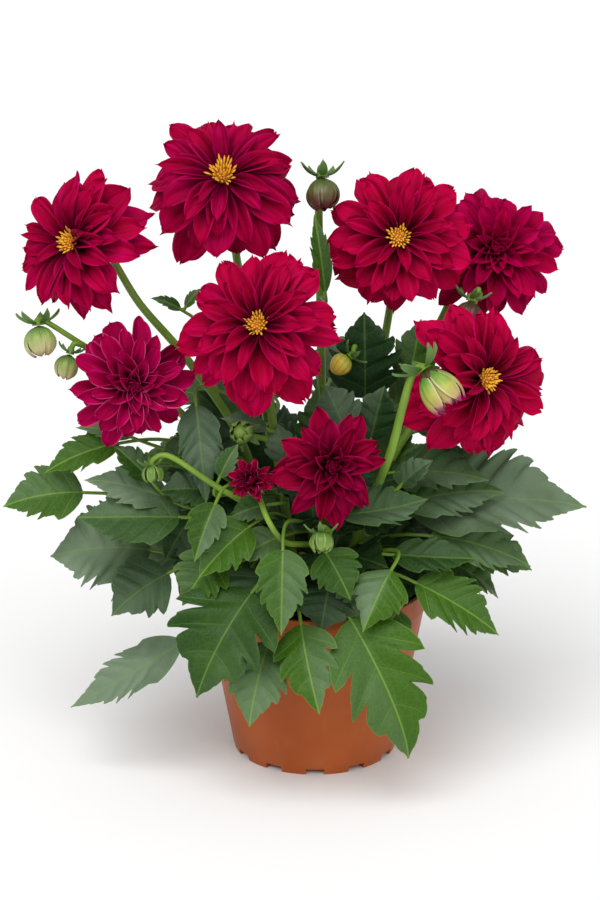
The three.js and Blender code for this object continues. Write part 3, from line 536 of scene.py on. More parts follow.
def leaf_blade(skin, leaf, root, rng):
    rib = rib_points(leaf, np.linspace(0, 1, 12))[0]
    length = np.sum(np.linalg.norm(np.diff(rib, axis=0), axis=1))
    half = leaf["width"] / 2
    lobed = leaf.get("lobed", 0.45)
    teeth = leaf.get("teeth", int(np.clip(round(length / 11), 4, 6)))
    rows = teeth * 10
    columns = 9 if half > 20 else 7
    row = np.linspace(0, 1, rows + 1)[:, None]
    s = np.linspace(-1, 1, 2 * columns + 1)[None, :]
    v = np.sign(s) * np.abs(s) ** 0.85
    far = np.abs(v)
    edge = teeth * row + 0.3
    toothed = smooth_step(0, 0.34 - 0.18 * lobed, row) * (1 - 0.75 * smooth_step(0.45, 0.85, row))
    depth = 0.15 + 0.27 * lobed
    spread = min(2.5, 0.9 / (depth + 0.07) - 1)
    cut = depth * (1 - tooth(edge)) * toothed
    cut = cut + 0.07 * (1 - tooth(2 * edge + 0.2)) * smooth_step(0, 0.14, row) * min(1, length / 45)
    reach = v * (1 - cut * far ** spread)
    u = row + VEIN_SLANT * (1 - row) * smooth_step(-0.04, 0.18, row) * np.abs(reach)
    points, tangents, ups, sides = rib_frames(leaf, u)
    body = np.maximum(LEAF_FULL * u ** 0.8 * np.clip(1 - u, 0, 1) ** 1.1, 0.04)
    body = body * (1 - 0.3 * smooth_step(0.62, 0.85, u))
    phase = edge + 0.24
    across = reach * half * body
    crease = 0.1 * half * body
    fold = leaf.get("fold", rng.uniform(0.6, 2.4)) * LEAF_FOLD * (np.sqrt(across ** 2 + crease ** 2) - crease)
    puffed = np.abs(np.sin(pi * phase)) * smooth_step(0, 0.1, row) * (1 - smooth_step(0.85, 1, row))
    puff = leaf.get("puff", 0.09) * half * body * puffed * 4 * far * (1 - 0.75 * far)
    wave_at = rng.uniform(0, tau, 2)
    wave = 0.11 * half * body * far ** 2 * np.sin(tau * 1.4 * u + wave_at[0] + np.sign(v) * wave_at[1])
    sheet = points + sides * across[..., None] + ups * (fold + puff + wave)[..., None]
    rings = sheet_rings(sheet, ups, LEAF_THICK, v)
    notes = bundle(phase, across, half * body * (1 - cut) * (1 - far))
    tint, pale = rng.uniform(), max(0.0, rng.uniform(-1.2, 1.0))
    tint, pale = leaf.get("tint", tint), leaf.get("pale", pale)
    # Painted sheen: one half of the blade is mixed further towards the pale grey-green, as if that half
    # caught a reflection.
    sheen = leaf.get("sheen", 0.4 * sin(50 * (tint + pale)))
    paler = pale + abs(sheen) * smooth_step(-0.12, 0.12, copysign(1, sheen) * reach)
    kind = bundle(tint, paler, length / teeth)
    skin.loft(rings, "leaf", both_sides(notes), both_sides(kind), "leaf_under")

    base, way = rib[0], tangents[0, columns]
    bend = base - way * np.linalg.norm(base - root) * 0.35
    stalk = smooth_path([root, bend, base, base + way * 2], 6)[:13]
    t = np.linspace(0, 1, 13)[:, None]
    bow = (1 - t) ** 2 * root + 2 * t * (1 - t) * bend + t ** 2 * base
    stalk = np.concatenate([(stalk + bow) / 2, [base + way * 2]])
    width = np.linspace(PETIOLE_RADIUS, PETIOLE_RADIUS * 0.75, len(stalk))
    skin.loft(tube(stalk, width, 8), "stem", (0.5, 0, rng.uniform()))
    at = np.linspace(0, 0.93, 24)
    points, _, ups, _ = rib_frames(leaf, at)
    thin = PETIOLE_RADIUS * 0.58 * (1 - at) * min(1, length / 45) + 0.08
    skin.loft(tube(points - ups * (thin * 0.55)[:, None], thin, 8), "rib", (0.5, 0, 0.5))


def whorl_leaves(shoot):
    """The back shoots' leaves: a pair at each tier of the whorl, spread to either side by turns."""
    at = shoot.get("whorl_at", 0)
    made = []
    for k, tier in enumerate(shoot.get("whorl", ())):
        for hand in (-1, 1):
            turn = at + hand * (18 + 3 * sin(4 * k + hand))
            start = 40 + 7 * sin(3 * k + hand + at)
            length = 62 + 9 * sin(5 * k + 2 * hand)
            base, tip = (tier, start, turn - hand * 3), (tier + 0.02 * hand, start + length, turn + hand * 4)
            made.append(shelled(base, tip, 38 + 5 * sin(2 * k + hand), roll=hand * 6))
    return made


def inner_leaves(shoot):
    """Smaller leaves that fill the plant's inside, close to the stems and over the pot's rim."""
    made = []
    for k, (tier, end) in enumerate(INNER_LEAVES):
        azimuth = shoot["azimuth"] + (-1) ** k * 12
        base, tip = (tier, 16, azimuth - 6), (tier + 0.02, end, azimuth + 6)
        made.append(shelled(base, tip, 36, tint=0.1, pale=0, fold=0.7, sheen=0))
    return made


# The layout

def bloom_row(name, at, yaw, pitch, radius, form, **more):
    """Where a bloom's middle is, the way that it faces in degrees, its radius and its form."""
    return dict(more, name=name, at=at, yaw=yaw, pitch=pitch, radius=radius, form=form)


def bud_row(name, at, way, radius, length, look="bud_green"):
    """Where a bud's foot is, the way that it points, and its size and look."""
    return dict(name=name, at=at, way=way, radius=radius, length=length, look=look)


# A bloom's dark is painted shade on its petals; its pale strengthens the painted highlight along their edges.
BLOOMS = [
    bloom_row("left", (-140, -25, 325), -36, 21, 45, "loose", magenta=0.35),
    bloom_row("top_left", (-54, -4, 359), -3, 40, 52, "loose", droop=14, stamens=1.5, magenta=0.45),
    bloom_row("top_right", (49, 1, 322), -2, 24, 46.5, "open", magenta=0.1),
    bloom_row("far_right", (109, 41, 305), 5, 24, 43, "full", dark=-0.3, magenta=0.5),
    bloom_row("middle", (-33, -57, 284), -12, 30, 49, "open", magenta=0.15),
    bloom_row("low_left", (-106, -49, 247), 10, 6, 37, "full", pale=1.2, dark=-0.3, magenta=1.15),
    bloom_row("right", (97, -45, 249), 30, 15, 49, "open", magenta=0.1),
    bloom_row("low_middle", (8, -84, 209), 7, 14, 35, "star", dark=0.4, magenta=0.35),
    bloom_row("young", (-37, -82, 199), -10, 30, 13, "tuft", pale=1.4, dark=0.35, magenta=0.25),
]

BUDS = [
    bud_row("left", (-161, -32, 278), (0.12, -0.3, -0.95), 10, 19, "bud_pale"),
    bud_row("left_small", (-144, -26, 259), (-0.25, -0.2, -0.95), 6, 15, "bud_pale"),
    bud_row("top", (4, 8, 357), (0.02, -0.35, -0.94), 10, 20, "bud_dark"),
    bud_row("opening", (61, -79, 264), (0.6, -0.35, -0.72), 12, 27, "bud_opening"),
    bud_row("yellow", (20, -8, 252), (-0.75, -0.3, -0.6), 6.5, 14, "bud_yellow"),
    bud_row("dark", (92, -2, 285), (-0.2, -0.3, -0.93), 8, 16, "bud_red"),
    bud_row("green_left", (-95, -60, 200), (0.1, -0.2, -1), 5, 9),
    bud_row("green_middle", (-42, -44, 216), (-0.3, -0.8, 0.4), 6, 10),
    bud_row("green_low", (3, -99, 172), (0, -0.5, -0.8), 6, 10),
]


def twig(start, path, **ends):
    return dict(ends, start=start, path=path)


def free(base, tip, width, **more):
    return dict(more, base=base, tip=tip, width=width)


def shelled(start, end, width, **more):
    return dict(more, width=width, **{"from": start, "to": end})


# A leaf's pale mixes it towards pale grey-green, partly its own tone and partly painted sheen; its sheen
# setting paints more sheen on one half.
SHOOTS = [
    dict(name="left", azimuth=178, bloom="left",
         path=[(-30, 0, 150), (-48, -2, 205), (-78, -5, 252), (-104, -5, 284)], leaves=[
        free((-99, -19, 134), (-161, -8, 126), 60, pale=0.9, tint=0.4, sheen=-0.2),
        free((-140, -5, 166), (-189, -5, 157), 38, pale=0.15, tint=1, sheen=0.3),
        free((-117, -10, 199), (-163, -10, 180), 24),
        free((-110, -8, 202), (-144, -5, 207), 13),
        shelled((0.12, 52, 180), (0.14, 118, 176), 44),
        shelled((0.44, 44, 166), (0.44, 108, 158), 40),
        free((-79, -9, 281), (-97, -12, 289), 8),
        free((-77, -8, 282), (-67, -8, 294), 7, root=(-79, -9, 281)),
    ]),
    dict(name="low_left", azimuth=210, bloom="low_left",
         path=[(-30, -18, 145), (-55, -20, 192), (-88, -12, 226)], twigs=[
        twig((-88, -12, 226), [(-114, -13, 246), (-136, -22, 263), (-156, -30, 279)], bud="left"),
        twig((-136, -22, 263), [(-141, -25, 265)], bud="left_small"),
    ], leaves=[
        free((-78, -60, 92), (-148, -44, 42), 30, pale=1.6, tint=0.3, stem=140, bulge=-0.03, sheen=0),
        shelled((0.18, 74, 206), (0.22, 121, 204), 46, pale=0.3, tint=0.15, fold=0.7),
        shelled((0.4, 70, 212), (0.5, 128, 197), 40, pale=0.15, tint=0.4, fold=0.8, puff=0.04),
        free((-86, -39, 173), (-137, -32, 183), 26, pale=0.8, tint=0.3, fold=0.8),
        free((-97, -42, 186), (-119, -40, 207), 18),
        shelled((0.62, 36, 205), (0.6, 84, 202), 34),
        free((-66, -12, 164), (-91, -20, 127), 40, pale=0, tint=0.2),
        free((-69, -12, 178), (-89, -15, 157), 30, pale=0.2, tint=0.1),
        free((-58, -15, 140), (-82, -25, 104), 36, pale=0, tint=0.1),
    ]),
    dict(name="middle", azimuth=243, bloom="middle",
         path=[(-16, -26, 150), (-24, -24, 205), (-28, -18, 245)], twigs=[
        twig((-16, -26, 150), [(-40, -50, 174), (-60, -60, 190), (-84, -61, 207), (-94, -60, 205)],
             bud="green_left"),
        twig((-24, -24, 205), [(-36, -38, 212)], bud="green_middle"),
    ], leaves=[
        shelled((0.15, 60, 244), (0.06, 118, 235), 66, pale=0, tint=0.4, lobed=1, teeth=4, fold=1,
                sheen=-0.1),
        shelled((0.0, 66, 252), (0.0, 118, 250), 38, pale=0.5, tint=0.7),
        free((-38, -68, 167), (-68, -80, 139), 32, pale=0, tint=0.8, sheen=0.15),
        free((-58, -68, 181), (-70, -85, 151), 22, pale=0, tint=0.5, fold=2.5, sheen=-0.7),
        free((-30, -60, 136), (-42, -80, 106), 42),
        free((-70, -38, 232), (-64, -54, 175), 26, pale=0.5, tint=0),
        free((-56, -58, 193), (-45, -52, 212), 12),
        free((-28, -34, 215), (-56, -38, 223), 12),
        free((-27, -62, 178), (-52, -66, 170), 16, pale=0, tint=0.35),
        free((-58, -62, 146), (-78, -72, 119), 34),
        free((-60, -44, 180), (-92, -44, 180), 26, pale=0.1, tint=0.2),
        free((-19, -28, 192), (-22, -26, 216), 20),
    ]),
    dict(name="low_middle", azimuth=275, bloom="low_middle",
         path=[(4, -30, 142), (6, -42, 178)], twigs=[
        twig((4, -30, 142), [(-8, -58, 152), (-19, -80, 162), (-28, -86, 178)], bloom="young"),
        twig((4, -30, 142), [(8, -62, 160), (5, -88, 173), (3, -97, 175)], bud="green_low"),
    ], leaves=[
        shelled((0.04, 60, 264), (0.02, 112, 271), 36, pale=0, tint=0.8, lobed=0.8, teeth=4, sheen=-0.5),
        shelled((0.05, 58, 284), (0.0, 142, 299), 56, pale=0, tint=0.95, lobed=1.1, teeth=4, fold=1,
                sheen=0.3),
        free((-19, -90, 161), (-20, -106, 114), 30, pale=0.1, tint=0.7, fold=1.8, sheen=-0.4),
        shelled((0.47, 58, 280), (0.5, 68, 316), 32, pale=0.25, tint=0.3),
        free((5, -78, 155), (20, -89, 129), 30, pale=0, tint=0.5),
        free((8, -66, 129), (3, -76, 104), 38, pale=0.1, tint=0.1),
        free((-21, -62, 158), (-48, -78, 147), 20),
        free((17, -35, 215), (5, -30, 241), 28, pale=0.4, tint=0),
    ]),
    dict(name="opening", azimuth=308, bud="opening",
         path=[(22, -32, 140), (34, -55, 182), (43, -68, 212), (49, -74, 240), (54, -77, 260)], leaves=[
        free((44, -78, 144), (27, -96, 112), 32, pale=0, tint=0.9, fold=-1.8, sheen=1),
        free((28, -60, 134), (34, -78, 106), 36),
        shelled((0.15, 60, 314), (0.12, 110, 334), 36, pale=0, tint=1, lobed=0.7),
        shelled((0.24, 48, 308), (0.27, 84, 333), 24),
        free((49, -58, 111), (35, -74, 92), 26),
        free((50, -50, 186), (68, -56, 203), 16),
        free((33, -14, 202), (41, -14, 236), 28, pale=0, tint=0.1),
    ]),
    dict(name="right", azimuth=338, bloom="right",
         path=[(30, -12, 150), (48, -14, 195), (68, -14, 225)], leaves=[
        free((68, -35, 149), (130, -20, 124), 34, pale=0.3, tint=0.6),
        free((56, -20, 160), (165, 0, 155), 58, pale=0.9, tint=0.45, teeth=7, puff=0.1, sheen=0.2),
        shelled((0.08, 50, 0), (0.08, 100, 4), 42),
        free((32, -2, 165), (60, 0, 215), 30),
        shelled((0.56, 30, 330), (0.54, 88, 338), 38, pale=0.25, tint=0.3),
        free((94, -10, 134), (133, 0, 114), 30, pale=0.3, tint=0.7),
        free((68, -24, 180), (95, -22, 198), 24, pale=0, tint=0.15),
        free((51, -33, 168), (114, -25, 173), 32, pale=0.1, tint=0.35, fold=0.9, sheen=0.6),
    ]),
    dict(name="far_right", azimuth=10, bloom="far_right",
         path=[(32, 8, 150), (50, 20, 210), (78, 45, 262), (95, 62, 292)],
         twigs=[twig((50, 20, 210), [(70, 16, 245), (90, 11, 271), (97, 7, 289)], bud="dark")], leaves=[
        free((56, 4, 230), (63, 4, 272), 26),
        shelled((0.2, 46, 12), (0.22, 116, 14), 46),
        shelled((0.66, 40, 6), (0.68, 108, 10), 42),
        shelled((0.8, 24, 14), (0.8, 84, 22), 34),
    ]),
    dict(name="top_right", azimuth=42, bloom="top_right",
         path=[(24, 20, 150), (34, 28, 205), (44, 34, 262)],
         twigs=[twig((34, 28, 205), [(30, 14, 236), (24, 0, 256)], bud="yellow")],
         leaves=[free((30, 5, 222), (29, 5, 276), 44, pale=0, tint=0, lobed=0.9, fold=2.2)],
         whorl_at=60, whorl=(0.1, 0.38, 0.68)),
    dict(name="back", azimuth=86, bud="top",
         path=[(3, 32, 150), (4, 35, 215), (3, 31, 280), (2, 24, 335), (3, 14, 360)], leaves=[
        free((6, 10, 286), (-1, 4, 336), 12),
        free((2, 8, 120), (-4, 4, 168), 34),
        free((6, 10, 176), (2, 4, 232), 36),
        free((8, 4, 110), (18, -2, 150), 36, pale=0, tint=0.1),
        free((-16, 4, 126), (-28, 0, 168), 34, pale=0, tint=0.1),
    ], whorl_at=92, whorl=(0.03, 0.26, 0.52, 0.82)),
    dict(name="top_left", azimuth=130, bloom="top_left",
         path=[(-20, 26, 150), (-32, 34, 215), (-44, 36, 280), (-50, 28, 322)], leaves=[
        free((-27, 23, 150), (-50, 24, 200), 34),
        free((-38, 22, 178), (-72, 10, 226), 42, pale=0, tint=0.1),
        free((-40, 10, 152), (-86, 8, 188), 36, pale=0, tint=0.1),
        free((-34, 18, 205), (-62, 14, 250), 34),
    ], whorl_at=130, whorl=(0.14, 0.4, 0.7)),
]

# Where things are


def by_name(items, name):
    return next(item for item in items if item["name"] == name)


def facing(bloom):
    a, b = radians(bloom["yaw"]), radians(bloom["pitch"])
    return vec([sin(a) * cos(b), -cos(a) * cos(b), sin(b)])


def placer(direction, at):
    """A function that takes points from a head's own frame to the model's."""
    turn = np.array(Vector((0, 0, 1)).rotation_difference(Vector(direction)).to_matrix())
    return lambda points: points @ turn.T + vec(at)


def stalk_end(holder):
    """A stalk's last points: it comes up along the axis of what it carries."""
    if "bloom" in holder:
        bloom = by_name(BLOOMS, holder["bloom"])
        shrink = shrink_of(bloom)
        back = (CORE_BACK + CALYX_LENGTH) * shrink
        return [vec(bloom["at"]) - facing(bloom) * behind for behind in (back + 18 * shrink, back)]
    bud = by_name(BUDS, holder["bud"])
    return [vec(bud["at"]) + unit(vec(bud["way"])) * (1 if bud["look"] == "bud_green" else -3)]


def head_parts(skin, holder, rng):
    if "bloom" in holder:
        bloom = by_name(BLOOMS, holder["bloom"])
        calyx(skin, shrink_of(bloom), placer(facing(bloom), bloom["at"]), rng)
        return
    bud = by_name(BUDS, holder["bud"])
    bud_holder(skin, bud, placer(bud["way"], bud["at"]), rng)


def stem_root(shoot):
    foot = STEM_CIRCLE * spoke(radians(shoot["azimuth"]))
    return [foot + vec([0, 0, z]) for z in (STEM_FOOT, SOIL_TOP + SOIL_CROWN)]


def leaf_root(leaf, line):
    """The place on the stem that a leaf's stalk leaves from."""
    if "root" in leaf:
        return vec(leaf["root"])
    base = rib_points(leaf, 0.0)[0]
    height = leaf.get("stem", base[2] - (hypot(base[0], base[1]) - STEM_CIRCLE) * 0.12)
    near = [p for p in line if p[2] > SOIL_TOP + 8 and hypot(p[0], p[1]) < 60]
    under = [p for p in near if p[2] <= height] or near[2:3]
    return max(under, key=lambda p: p[2])


def foliage(shoot, seed):
    """A leafy shoot: its stem and stalks, its leaves, and the green parts behind its heads."""
    rng = np.random.default_rng(500 + seed)
    skin = Skin(["leaf", "leaf_under", "stem", "rib", "bract", "bud_green", "bud_scale"])
    line = smooth_path([*stem_root(shoot), *shoot["path"], *stalk_end(shoot)], 8)
    t = np.linspace(0, 1, len(line))
    notes = bundle(t, 0.0, 0.3)[:, None].repeat(12, axis=1)
    skin.loft(tube(line, STEM_RADIUS + (STALK_RADIUS - STEM_RADIUS) * t, 12), "stem", notes)
    head_parts(skin, shoot, rng)
    for side in shoot.get("twigs", ()):
        path = smooth_path([side["start"], *side["path"], *stalk_end(side)], 8)
        radii = np.linspace(TWIG_RADIUS * 1.25, TWIG_RADIUS, len(path))
        skin.loft(tube(path, radii, 10), "stem", (0.8, 0, 0.6))
        head_parts(skin, side, rng)
    for leaf in [*shoot["leaves"], *whorl_leaves(shoot), *inner_leaves(shoot)]:
        leaf_blade(skin, leaf, leaf_root(leaf, line), rng)
    piece("foliage_" + shoot["name"], skin, ["shoot_" + shoot["name"]])


# Pot and soil


def wall_radius(z):
    low, high = FOOT_RADIUS + 1, RIM_RADIUS - LIP_STEP
    return low + (high - low) * (z - FOOT_HEIGHT) / (POT_HEIGHT - LIP_HEIGHT - FOOT_HEIGHT)


def rounded(profile, radius=0.5, steps=4):
    """The profile with its inner corners rounded off."""
    points = [vec(p) for p in profile]
    line = [points[0]]
    for before, corner, after in zip(points, points[1:], points[2:]):
        reach = min(radius, np.linalg.norm(before - corner) * 0.45, np.linalg.norm(after - corner) * 0.45)
        a, b = corner + unit(before - corner) * reach, corner + unit(after - corner) * reach
        for k in range(steps + 1):
            s = k / steps
            line.append((1 - s) ** 2 * a + 2 * s * (1 - s) * corner + s * s * b)
    return [*line, points[-1]]


def pot():
    lip_foot = POT_HEIGHT - LIP_HEIGHT
    floor_top = FOOT_HEIGHT + FLOOR
    profile = [
        (0.05, 0), (CENTRE_PAD_RADIUS, 0), (CENTRE_PAD_RADIUS, FOOT_HEIGHT),
        (FOOT_RADIUS - FOOT_WIDTH, FOOT_HEIGHT), (FOOT_RADIUS - FOOT_WIDTH, 0), (FOOT_RADIUS, 0),
        (wall_radius(FOOT_HEIGHT), FOOT_HEIGHT), (wall_radius(lip_foot), lip_foot),
        (RIM_RADIUS - 0.5, lip_foot + 0.6), (RIM_RADIUS, POT_HEIGHT),
        (RIM_RADIUS - WALL - 0.6, POT_HEIGHT), (wall_radius(lip_foot) - WALL, lip_foot),
        (wall_radius(floor_top) - WALL, floor_top), (0.05, floor_top),
    ]
    body = Skin(["pot"])
    body.loft(lathe(rounded(profile), POT_SIDES), "pot")
    shell = linked("pot_shell", body.mesh("pot_shell"))
    cutter = Skin(["pot"])
    middle, reach = FOOT_RADIUS - FOOT_WIDTH / 2, (FOOT_WIDTH + 6) / 2
    for k in range(NOTCHES):
        out = spoke(-pi / 2 + tau * k / NOTCHES)
        side = np.cross([0, 0, 1], out)
        corners = vec([(middle + i * reach) * out + j * NOTCH_WIDTH / 2 * side for i, j in SQUARE])
        cutter.loft(np.array([corners + vec([0, 0, z]) for z in (-4, FOOT_HEIGHT - 0.6)]), "pot")
    for k in range(DRAIN_HOLES):
        centre = DRAIN_CIRCLE * spoke(tau * k / DRAIN_HOLES)
        cutter.loft(lathe([(DRAIN_RADIUS, -5), (DRAIN_RADIUS, 14)], 24) + centre, "pot")
    tool = linked("pot_cuts", cutter.mesh("pot_cuts"))
    cut = shell.modifiers.new("cuts", "BOOLEAN")
    cut.operation = "DIFFERENCE"
    cut.solver = "EXACT"
    cut.object = tool
    graph = bpy.context.evaluated_depsgraph_get()
    mesh = bpy.data.meshes.new_from_object(shell.evaluated_get(graph))
    shell.modifiers.clear()
    shell.data = mesh
    bpy.data.objects.remove(tool)
    mesh.shade_smooth()
    mesh.set_sharp_from_angle(angle=radians(POT_SHARP_ANGLE))
    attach(shell, "root")
    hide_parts("pot")


def soil():
    """Potting mix: a lumpy crowned top with crumbs and bark chips lying on it."""
    rng = np.random.default_rng(11)
    skin = Skin(["soil", "chip"])
    floor_top = FOOT_HEIGHT + FLOOR + CLEAR

    def inner(z):
        return wall_radius(z) - WALL - CLEAR - 0.3

    rim = inner(SOIL_TOP)
    radii = np.linspace(rim, 0.3, 44)
    top = SOIL_TOP - 1 + (SOIL_CROWN + 1) * np.sqrt(np.clip(1 - radii / rim, 0, 1))
    profile = [(0.3, floor_top), (inner(floor_top), floor_top), *zip(radii, top)]
    rings = lathe(profile, 120)
    x, y = rings[3:, :, 0], rings[3:, :, 1]
    bump = np.zeros_like(x)
    for k in range(SOIL_SWELLS):
        a, size = rng.uniform(0, tau), rng.uniform(3, 22)
        along = (x * cos(a) + y * sin(a)) * tau / size
        bump += 0.55 * np.sin(along + rng.uniform(0, 6)) * size / 22
    rings[3:, :, 2] += np.clip(bump, -1.6, 1.6)
    skin.loft(rings, "soil")
    for k in range(CRUMBS):
        size = rng.uniform(0.7, 2.6)
        r, a = rim * sqrt(rng.uniform(0, 0.93)), rng.uniform(0, tau)
        z = SOIL_TOP - 1 + (SOIL_CROWN + 1) * sqrt(1 - r / rim) + size * 0.25
        angle = np.arange(6) * pi / 3
        rows = []
        for height, share in ((-0.7, 0.5), (-0.2, 1), (0.3, 0.9), (0.6, 0.4)):
            spread = size * share * rng.uniform(0.75, 1.25, 6)
            rows.append(bundle(spread * np.cos(angle) * 1.5, spread * np.sin(angle), height * size))
        turn = placer(rng.normal(0, 0.5, 3) + vec([0, 0, 1]), (r * cos(a), r * sin(a), z))
        skin.loft(turn(np.array(rows)), "chip" if k % 4 == 0 else "soil", (0, 0, rng.uniform()))
    piece("potting_mix", skin, ["soil"])


# Materials


class Shader:
    """A material in the making: a Principled shader with nodes added and linked before it."""

    def __init__(self, name, **sockets):
        self.material = bpy.data.materials.new(name)
        self.material.use_nodes = True
        self.tree = self.material.node_tree
        self.surface = self.tree.nodes["Principled BSDF"]
        for socket, value in sockets.items():
            self.surface.inputs[socket.replace("_", " ")].default_value = value

    def node(self, kind, values=(), **settings):
        made = self.tree.nodes.new(kind)
        for key, value in settings.items():
            setattr(made, key, value)
        for key, value in dict(values).items():
            if isinstance(value, bpy.types.NodeSocket):
                self.tree.links.new(value, made.inputs[key])
            else:
                made.inputs[key].default_value = value
        return made

    def set(self, socket, value):
        self.tree.links.new(value, self.surface.inputs[socket])

    def math(self, operation, *values):
        return self.node("ShaderNodeMath", dict(enumerate(values)), operation=operation).outputs[0]

    def times(self, a, b):
        return self.math("MULTIPLY", a, b)

    def plus(self, a, b):
        return self.math("ADD", a, b)

    def mix(self, factor, a, b):
        a, b = ((*c, 1) if isinstance(c, tuple) and len(c) == 3 else c for c in (a, b))
        return self.node("ShaderNodeMix", {0: factor, 6: a, 7: b}, data_type="RGBA").outputs[2]

    def ramp(self, factor, stops):
        """A colour ramp through (place, colour) stops; a colour may be one number, for grey."""
        made = self.node("ShaderNodeValToRGB", {0: factor})
        elements = made.color_ramp.elements
        while len(elements) < len(stops):
            elements.new(0.5)
        for element, (place, colour) in zip(elements, stops):
            element.position = place
            element.color = (*colour, 1) if isinstance(colour, tuple) else (colour,) * 3 + (1,)
        return made.outputs[0]

    def range(self, value, low, high, to_low=0.0, to_high=1.0):
        made = self.node("ShaderNodeMapRange", {0: value, 1: low, 2: high, 3: to_low, 4: to_high})
        made.interpolation_type = "SMOOTHSTEP"
        return made.outputs[0]

    def notes(self, name):
        vector = self.node("ShaderNodeAttribute", attribute_name=name).outputs["Vector"]
        return self.node("ShaderNodeSeparateXYZ", {0: vector}).outputs

    def point(self):
        return self.node("ShaderNodeTexCoord").outputs["Object"]

    def combine(self, x, y, z):
        return self.node("ShaderNodeCombineXYZ", {0: x, 1: y, 2: z}).outputs[0]

    def noise(self, vector, scale, detail=3.0, rough=0.5):
        values = {"Vector": vector, "Scale": scale, "Detail": detail, "Roughness": rough}
        return self.node("ShaderNodeTexNoise", values).outputs[0]

    def cells(self, vector, scale):
        values = {"Vector": vector, "Scale": scale}
        return self.node("ShaderNodeTexVoronoi", values, feature="DISTANCE_TO_EDGE").outputs[0]

    def bump(self, height, distance, strength=1.0):
        values = {"Height": height, "Distance": distance, "Strength": strength}
        self.set("Normal", self.node("ShaderNodeBump", values).outputs[0])


def petal_look(name, stops, bright):
    """Velvety crimson: painted shade at the root and by its dark note, streaked along the petal, with a
    painted highlight at the edge that is paler where its notes say.
    """
    s = Shader(name, Roughness=0.55, Sheen_Weight=0.04, Sheen_Roughness=0.3, Sheen_Tint=(1, 0.02, 0.3, 1),
               Specular_IOR_Level=0.03)
    u, v, chance = s.notes("place")
    tint, pale, dark = s.notes("kind")
    base = s.ramp(u, stops)
    turn = s.times(chance, 40.0)
    lines = s.noise(s.combine(s.times(v, 5.0), s.times(u, 0.8), turn), 2.2, 3)
    soft = s.noise(s.combine(s.times(v, 1.2), s.times(u, 1.5), turn), 1.4, 2)
    streak = s.range(s.plus(s.times(lines, 0.5), s.times(soft, 0.5)), 0.42, 0.7)
    streak = s.times(streak, s.range(u, 0.2, 0.6, 0.1, 0.8))
    colour = s.mix(streak, base, bright)
    magenta = s.mix(streak, (0.26, 0.0, 0.045), (0.55, 0.001, 0.15))
    colour = s.mix(s.range(tint, 0.0, 1.0, 0.0, 0.65), colour, magenta)
    # Painted shade: the dark note mixes the colour towards near black.
    colour = s.mix(s.range(dark, 0.0, 1.0, 0.0, 0.85), colour, (0.05, 0.0, 0.006))
    # Painted highlight: a magenta rim along each petal's edges, and a paler one where the pale note says.
    rim = s.range(s.math("ABSOLUTE", v), 0.82, 1.0)
    colour = s.mix(s.times(rim, s.range(lines, 0.3, 0.6, 0.05, 0.45)), colour, (0.5, 0.004, 0.12))
    rim = s.times(s.times(rim, pale), s.range(lines, 0.4, 0.62, 0.0, 0.7))
    colour = s.mix(rim, colour, (0.72, 0.09, 0.3))
    s.set("Base Color", colour)
    s.bump(s.noise(s.combine(s.times(v, 22.0), s.times(u, 2.0), turn), 1.0, 2), 0.0005, 0.6)
    return s.material


def leaf_look(name, dark, mid, vein, gloss, vein_share):
    """A leaf's face: mottled green with paler veins where its notes put them, puffed between them, and a pale
    grey-green that is partly painted sheen.
    """
    s = Shader(name, Specular_IOR_Level=0.16)
    phase, across, inside = s.notes("place")
    tint, pale, spacing = s.notes("kind")
    point = s.point()
    mottle = s.noise(point, 45.0, 3)
    kinds = s.plus(s.times(mottle, 0.5), s.times(tint, 0.8))
    green = s.mix(s.range(kinds, 0.2, 1.0), dark, mid)
    # Partly painted sheen: the pale note mixes in a mottled pale grey-green that stands both for the leaf's
    # own paler tone and for reflected light.
    tone_and_sheen = s.times(s.range(mottle, 0.2, 0.8, 0.5, 0.95), s.range(phase, 0.3, 3.6, 0.55, 1.1))
    green = s.mix(s.times(pale, tone_and_sheen), green, (0.15, 0.21, 0.135))
    side = s.times(s.math("PINGPONG", phase, 0.5), spacing)
    thin = s.range(side, 0.03, 0.32, 1.0, 0.0)
    thin = s.times(thin, s.range(inside, 0.0, 8.0, vein_share * 0.4, vein_share))
    middle = s.range(s.math("ABSOLUTE", across), 0.2, 0.8, vein_share * 1.5, 0.0)
    edge = s.range(inside, 0.1, 0.9, vein_share, 0.0)
    between = s.times(s.math("PINGPONG", s.plus(phase, 0.5), 0.5), spacing)
    faint = s.range(between, 0.0, 0.3, vein_share * 0.6, 0.0)
    faint = s.times(faint, s.range(inside, 2.0, 7.0, 1.0, 0.0))
    edge = s.math("MAXIMUM", edge, faint)
    web = s.range(s.cells(point, 300.0), 0.0, 0.16, 1.0, 0.0)
    veins = s.math("MAXIMUM", s.math("MAXIMUM", thin, edge), s.times(web, vein_share * 0.2))
    veins = s.times(s.math("MAXIMUM", veins, middle), s.range(tint, 0.0, 1.0, 0.35, 1.0))
    s.set("Base Color", s.mix(veins, green, vein))
    s.set("Roughness", s.range(mottle, 0.2, 0.8, gloss, gloss + 0.1))
    s.bump(s.math("SUBTRACT", 1.0, s.plus(s.times(web, 0.3), thin)), 0.0008, 0.4)
    return s.material


def stem_look(name, low, high, rough=0.45):
    s = Shader(name, Roughness=rough, Specular_IOR_Level=0.4, Subsurface_Weight=0.08, Subsurface_Scale=0.002,
               Subsurface_Radius=(0.4, 1.0, 0.2))
    along = s.notes("place")[0]
    point = s.point()
    patch = s.noise(point, 45.0, 2)
    factor = s.range(s.plus(s.times(patch, 0.7), s.times(along, 0.4)), 0.2, 0.9)
    s.set("Base Color", s.mix(factor, low, high))
    s.bump(s.noise(point, 900.0, 2), 0.0002, 0.5)
    return s.material


